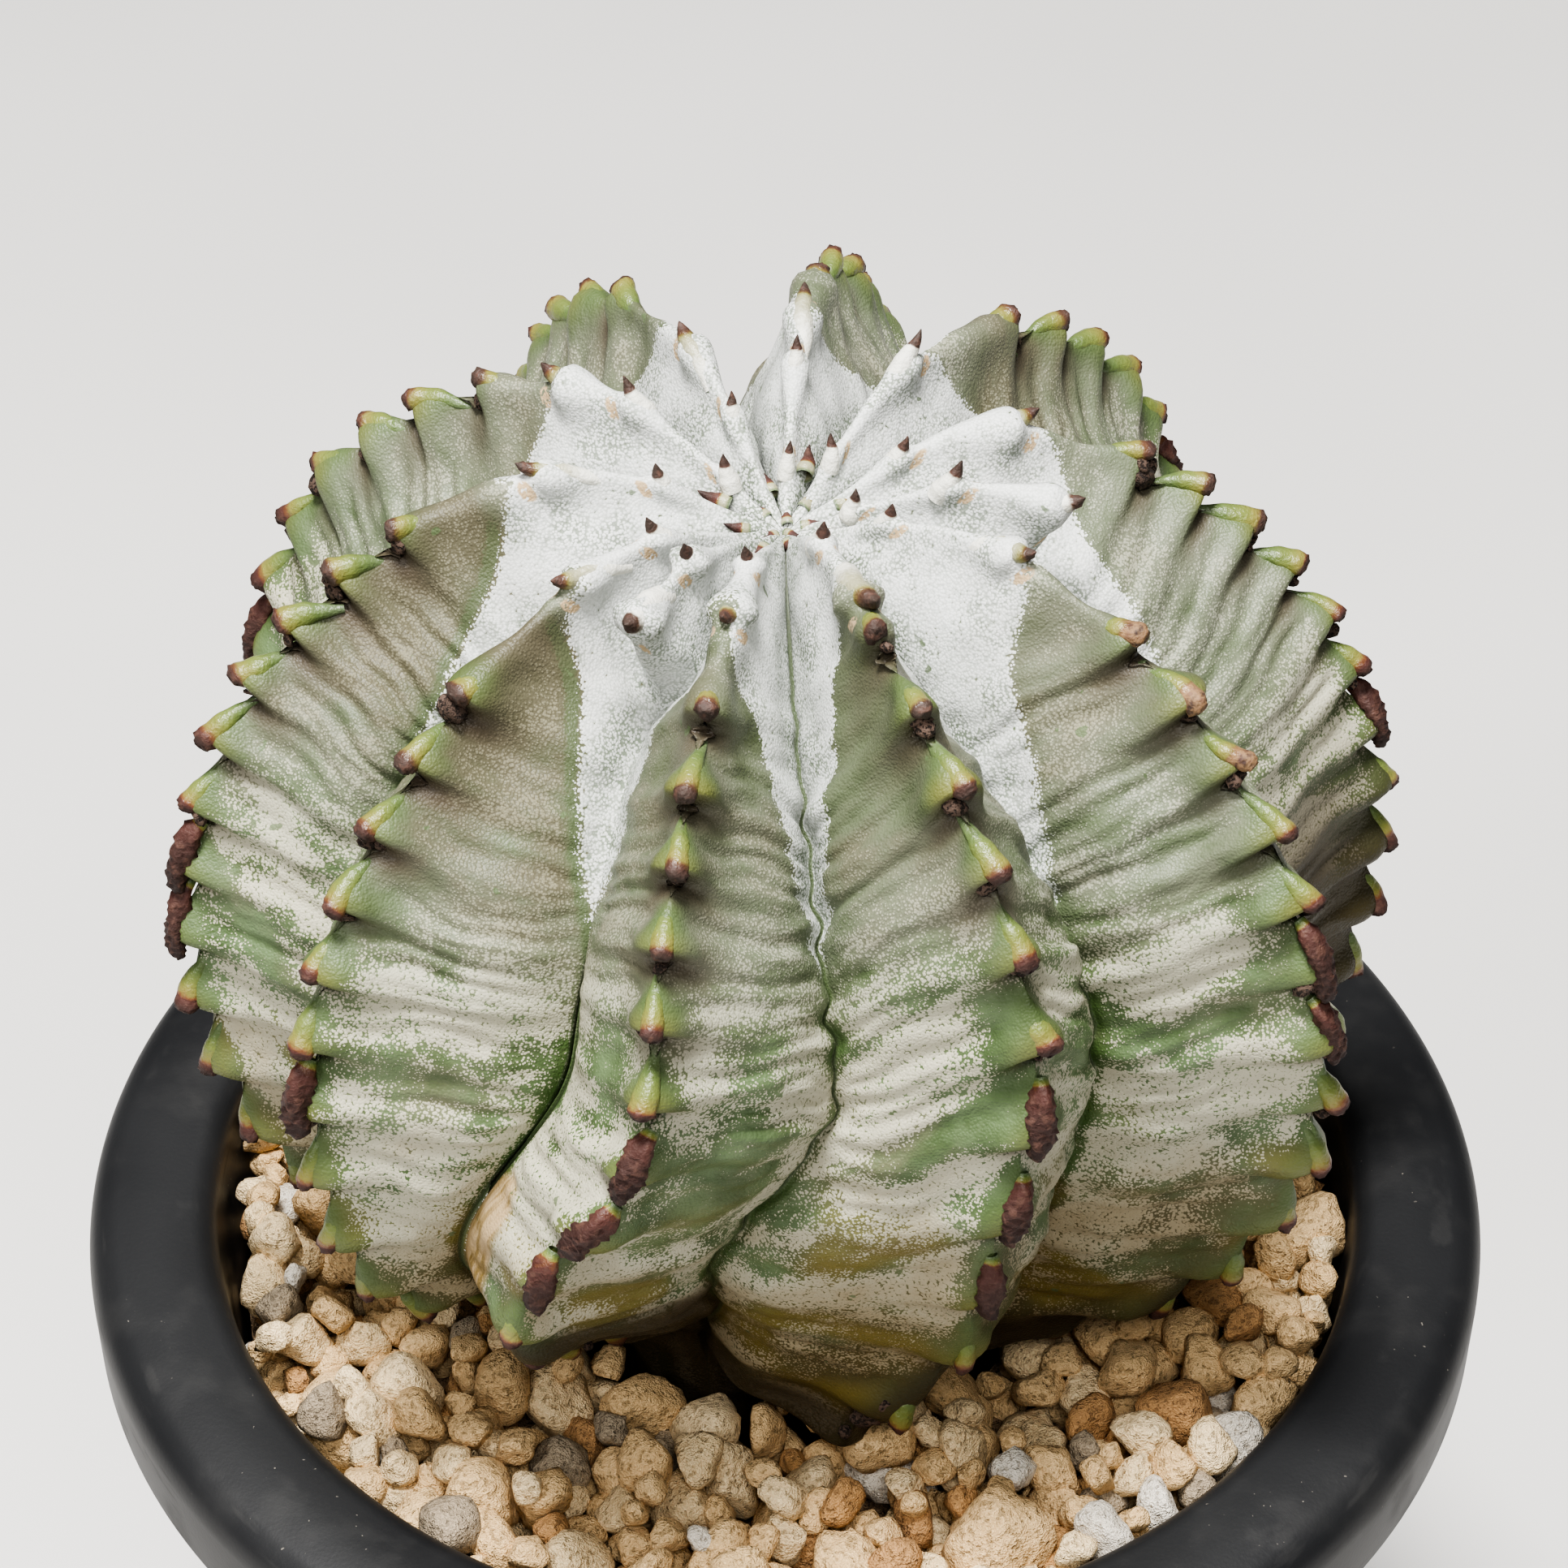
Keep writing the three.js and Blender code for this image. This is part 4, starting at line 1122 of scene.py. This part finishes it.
# Teeth: short fingers of the plant's own flesh along each crest, green and smooth, that end in a
# dry, corky brown cap. At the crown they are white stubs with a black point, and low on the ribs
# they have dried to wrinkled red-brown rolls.
# A tooth's path runs along its crest and out of it, from the sunk root to the tip. Thick is its
# radius on the way, and cap the share of the way at which the corky cap starts.
TOOTH_SIDES = 14
SHAPES = {
    "stub": dict(
        path=[(-2.6, -0.9), (-1.6, 0.0), (-0.6, 0.9), (0.3, 1.8), (1.0, 2.7), (1.7, 3.8)],
        thick=[1.5, 1.60, 1.35, 0.98, 0.60, 0.10], cap=0.70, rings=16,
    ),
    "horn": dict(
        path=[
            (-5.4, -1.9), (-3.6, -0.8), (-2.2, -0.1), (-0.9, 0.5), (0.4, 1.0), (1.5, 1.6),
            (2.3, 2.4),
        ],
        thick=[0.6, 1.00, 1.12, 1.12, 1.00, 0.70, 0.10], cap=0.86, rings=22,
    ),
    "finger": dict(
        path=[
            (-3.8, -1.9), (-2.9, -1.2), (-2.0, -0.5), (-1.1, 0.05), (0.0, 0.55), (0.9, 0.95),
            (1.5, 1.15),
        ],
        thick=[0.30, 0.42, 0.62, 0.84, 0.95, 0.95, 0.45], cap=0.84, rings=22,
    ),
    "roll": dict(
        path=[
            (-4.2, -0.7), (-3.0, 0.1), (-1.6, 0.5), (-0.2, 0.7), (1.0, 0.8), (2.1, 0.75),
            (2.9, 0.5),
        ],
        thick=[0.5, 0.85, 1.00, 1.02, 0.95, 0.75, 0.35], cap=0.08, rings=22,
    ),
}


def crest_frame(i, t):
    """A point on the ridge, with the directions along it, across it and out of it."""
    near = np.array([t - 0.01, t, t + 0.01])
    angle, line = ridge(i, near)
    seat = polar(line[:, 0], angle, POT_HEIGHT + line[:, 1])[1]
    heading = full_ridge(i, near)
    before, _, after = polar(heading[:, 0], angle, POT_HEIGHT + heading[:, 1])
    along = (after - before) / np.linalg.norm(after - before)
    side = polar(np.array([1.0]), rib_angle(i, np.array([t])) + 90, 0)[0]
    side = side - along * (side @ along)
    side /= np.linalg.norm(side)
    return seat, along, side, np.cross(along, side)


def finger(frame_at, kind, size, chance):
    """Rings of points round a finger's path, each with its share of the way to the tip."""
    seat, along, side, out = frame_at
    shape = SHAPES[kind]
    u = np.linspace(0, 1, shape["rings"])
    path = through(shape["path"], u)
    thick = through([(k, 0) for k in shape["thick"]], u)[:, 0] * chance.uniform(0.86, 1.12)
    length = chance.uniform(0.80, 1.06)
    turn = chance.normal(0, 0.09)
    cos, sin = math.cos(turn), math.sin(turn)
    along, side = along * cos + side * sin, side * cos - along * sin
    sway = chance.normal(0, 0.14) * step(u, 0.3, 1) * 2 + chance.normal(0, 0.07) * np.sin(u * 9)
    heading = np.gradient(path, axis=0)
    heading /= np.linalg.norm(heading, axis=1)[:, None]
    round_it = np.arange(TOOTH_SIDES) * FULL_TURN / TOOTH_SIDES
    lumps = chance.uniform(0, FULL_TURN, 6)
    corky = step(u, shape["cap"] - 0.02, shape["cap"] + 0.04) * (kind != "stub")
    rings = []
    for k, way in enumerate(u):
        ridges = 0.035 * math.sin(way * 25 + lumps[0]) + 0.05 * np.sin(2 * round_it + lumps[1])
        rough = 0.17 * np.sin(3 * round_it + lumps[2] + 9 * way)
        rough = rough + 0.13 * np.sin(way * 55 + 2 * round_it + lumps[3])
        rough = rough + 0.09 * np.sin(5 * round_it + lumps[4] - 30 * way) + 0.04
        radius = thick[k] * (1 + ridges + corky[k] * rough)
        x = path[k, 0] * length - heading[k, 1] * radius * np.sin(round_it)
        z = path[k, 1] + heading[k, 0] * radius * np.sin(round_it)
        y = sway[k] + radius * np.cos(round_it)
        rings.append(seat + size * (x[:, None] * along + y[:, None] * side + z[:, None] * out))
    tip = path[-1] - heading[-1] * (0.2 if kind in ("finger", "roll") else -0.1)
    pole = seat + size * (tip[0] * length * along + sway[-1] * side + tip[1] * out)
    rings.append(np.tile(pole, (TOOTH_SIDES, 1)))
    return np.array(rings), np.append(u, 1.0)


def tooth_skin(w):
    spots = w.grain(0.7, detail=3)
    creases = w.grain(0.26, detail=2)
    stage = w.field("ripe") + 0.10 * (spots - 0.5) + 0.05 * (w.field("tint") - 0.5)
    # Before the cap the flesh turns yellow: partly its own tint, partly a painted glow of light
    # through the tip.
    flesh = w.node(
        "ShaderNodeValToRGB",
        {"stops": [
            (0.0, (0.120, 0.155, 0.090)), (0.20, (0.110, 0.155, 0.055)),
            (0.34, (0.170, 0.200, 0.058)), (0.44, (0.225, 0.200, 0.060)),
            (0.48, (0.180, 0.080, 0.038)), (0.52, (0.088, 0.032, 0.025)),
            (0.66, (0.058, 0.026, 0.021)), (1.0, (0.028, 0.016, 0.014)),
        ]},
        {"Fac": stage},
    )
    middle = stage.rise(0.05, 0.2) * (1 - stage.rise(0.38, 0.46))
    cream = (w.field("pale") * middle).blend(flesh, (0.330, 0.320, 0.215))
    aged = (w.field("dull") * stage.rise(0.42, 0.49) * 0.85).blend(cream, (0.062, 0.043, 0.034))
    flakes = w.field("flaky") * stage.rise(0.44, 0.49) * spots.rise(0.3, 0.6)
    flaked = flakes.blend(aged, (0.27, 0.165, 0.085))
    red_brown = spots.rise(0.48, 0.68) * stage.rise(0.5, 0.56) * 0.6
    dried = red_brown.blend(flaked, (0.135, 0.068, 0.050))
    powder = 1.3 * w.field("frost") - 1.6 * stage - 0.25 * creases - 0.15 * spots
    powder = powder.rise(-0.15, 0.35) * (1 - stage.rise(0.44, 0.50))
    return {
        "Base Color": (0.95 * powder).blend(dried, (0.70, 0.69, 0.63)),
        "Roughness": 0.36 + 0.30 * stage.rise(0.48, 0.55) + 0.25 * powder,
        "Normal": w.bump(creases * 0.5 + spots * 0.5, 0.20),
    }


STUB_TO = 0.12
HORN_TO = 0.18
FLAKY_RIB = RIGHT
FLAKY_SPAN = (0.2, 0.42)
BUDS = 15
chance = np.random.default_rng(33)
points, faces = [], []
looks = {key: [] for key in ("ripe", "tint", "frost", "dull", "pale", "flaky")}


def add_finger(frame_at, kind, size, chance, cap_shift=0.0, bloom=0.0, faded=0.0, flakes=0.0):
    rings, u = finger(frame_at, kind, size, chance)
    start = sum(len(p) for p in points)
    total = rings.shape[0] * TOOTH_SIDES
    number = start + np.arange(total).reshape(rings.shape[:2])
    turned = np.roll(number, -1, axis=1)
    faces.append(np.stack([number[:-1], turned[:-1], turned[1:], number[1:]], -1).reshape(-1, 4))
    points.append(rings.reshape(-1, 3))
    cap = SHAPES[kind]["cap"] + cap_shift
    stage = np.where(u < cap, 0.5 * u / cap, 0.5 + 0.5 * (u - cap) / (1 - cap))
    looks["ripe"].append(stage.repeat(TOOTH_SIDES))
    pale = 1.0 if kind in ("horn", "stub") else 0.0
    alike = {"tint": chance.uniform(), "frost": bloom, "dull": faded, "pale": pale, "flaky": flakes}
    for key, value in alike.items():
        looks[key].append(np.full(total, value))


for i, rib in enumerate(RIBS):
    for t_tooth in teeth_of(i):
        flaky = i == FLAKY_RIB and FLAKY_SPAN[0] < t_tooth < FLAKY_SPAN[1]
        kind = "finger"
        if t_tooth < STUB_TO:
            kind = "stub"
        elif t_tooth < HORN_TO:
            kind = "horn"
        elif rib["dry"][0] < t_tooth < rib["dry"][1]:
            kind = "roll"
        bloom = 0.50 if kind == "horn" else 1.7 * (1 - step(t_tooth, STUB_TO, HORN_TO))
        if rib["ends"] < 1:
            bloom = 1.7
        shift = 0
        if kind == "finger":
            shift = -0.22 * step(t_tooth, 0.45, 0.6) * chance.uniform(0, 1)
        if flaky:
            shift = -0.14
        faded = chance.uniform(0.5, 1) * (1 - step(t_tooth, 0.35, 0.6))
        at_tooth = crest_frame(i, t_tooth)
        add_finger(
            at_tooth, kind, tooth_size(t_tooth), chance, shift, bloom, faded, 1.0 if flaky else 0.0
        )

# The youngest buds stand in a spiral round the middle of the crown.
GOLDEN_ANGLE = 137.5
BUD_TILT = 0.5
for k in range(BUDS):
    angle = np.array([GOLDEN_ANGLE * k + 40])
    height = POT_HEIGHT + CROWN_HEIGHT + 0.1 + 0.10 * k
    seat = polar(np.array([0.9 + 0.40 * k]), angle, height)[0]
    away = polar(np.array([1.0]), angle, 0)[0]
    side = polar(np.array([1.0]), angle + 90, 0)[0]
    lean = away * math.cos(BUD_TILT) - np.array((0, 0, math.sin(BUD_TILT)))
    frame_at = (seat, lean, side, np.cross(lean, side))
    add_finger(frame_at, "stub", 0.27 + 0.014 * k, chance, -0.34, 0.12)
piece(
    "teeth", np.concatenate(points), np.concatenate(faces),
    finish("tooth_skin", tooth_skin, Specular_IOR_Level=0.5), "plant",
    {key: np.concatenate(values) for key, values in looks.items()},
)


# Corky remains: crumbs of dead flower stalks and old caps, caught in the notches under the teeth.
def cork(w):
    tone = w.field("tint")
    pits = w.grain(0.3, detail=3).rise(0.38, 0.52)
    base = tone.blend((0.060, 0.038, 0.028), (0.150, 0.100, 0.078))
    return {
        "Base Color": pits.blend((0.022, 0.014, 0.011), base),
        "Normal": w.bump(pits * 0.6 + w.grain(0.15) * 0.4, 0.2),
    }


CRUMB_SPAN = (0.2, 0.9)
DRY_FEET = {FRONT: 0.86, FRONT_RIGHT: 0.93, LEFT: 0.93}
CRUMBS_A_FOOT = 9
chance = np.random.default_rng(5)
crumbs = []
for i in range(len(RIBS)):
    for t_tooth in teeth_of(i):
        if CRUMB_SPAN[0] < t_tooth < CRUMB_SPAN[1] and chance.uniform() < 0.75:
            seat, along, side, out = crest_frame(i, t_tooth)
            for _ in range(int(chance.integers(1, 4))):
                spot = seat + along * chance.uniform(0.9, 1.9) + side * chance.normal(0, 0.4)
                spot = spot + out * chance.uniform(-1.0, -0.1)
                crumbs.append((*spot, chance.uniform(0.45, 0.8)))
for i, dry_from in DRY_FEET.items():
    for _ in range(CRUMBS_A_FOOT):
        seat, along, side, out = crest_frame(i, chance.uniform(dry_from, 0.985))
        spot = seat + side * chance.normal(0, 0.5) + out * chance.uniform(-0.9, -0.1)
        crumbs.append((*spot, chance.uniform(0.5, 1.0)))
points, faces, tint = pebbles(chance, np.array(crumbs), 2, 0.8)
piece(
    "corky_remains", points, faces, finish("cork", cork, Roughness=0.85), "plant",
    {"tint": tint},
)
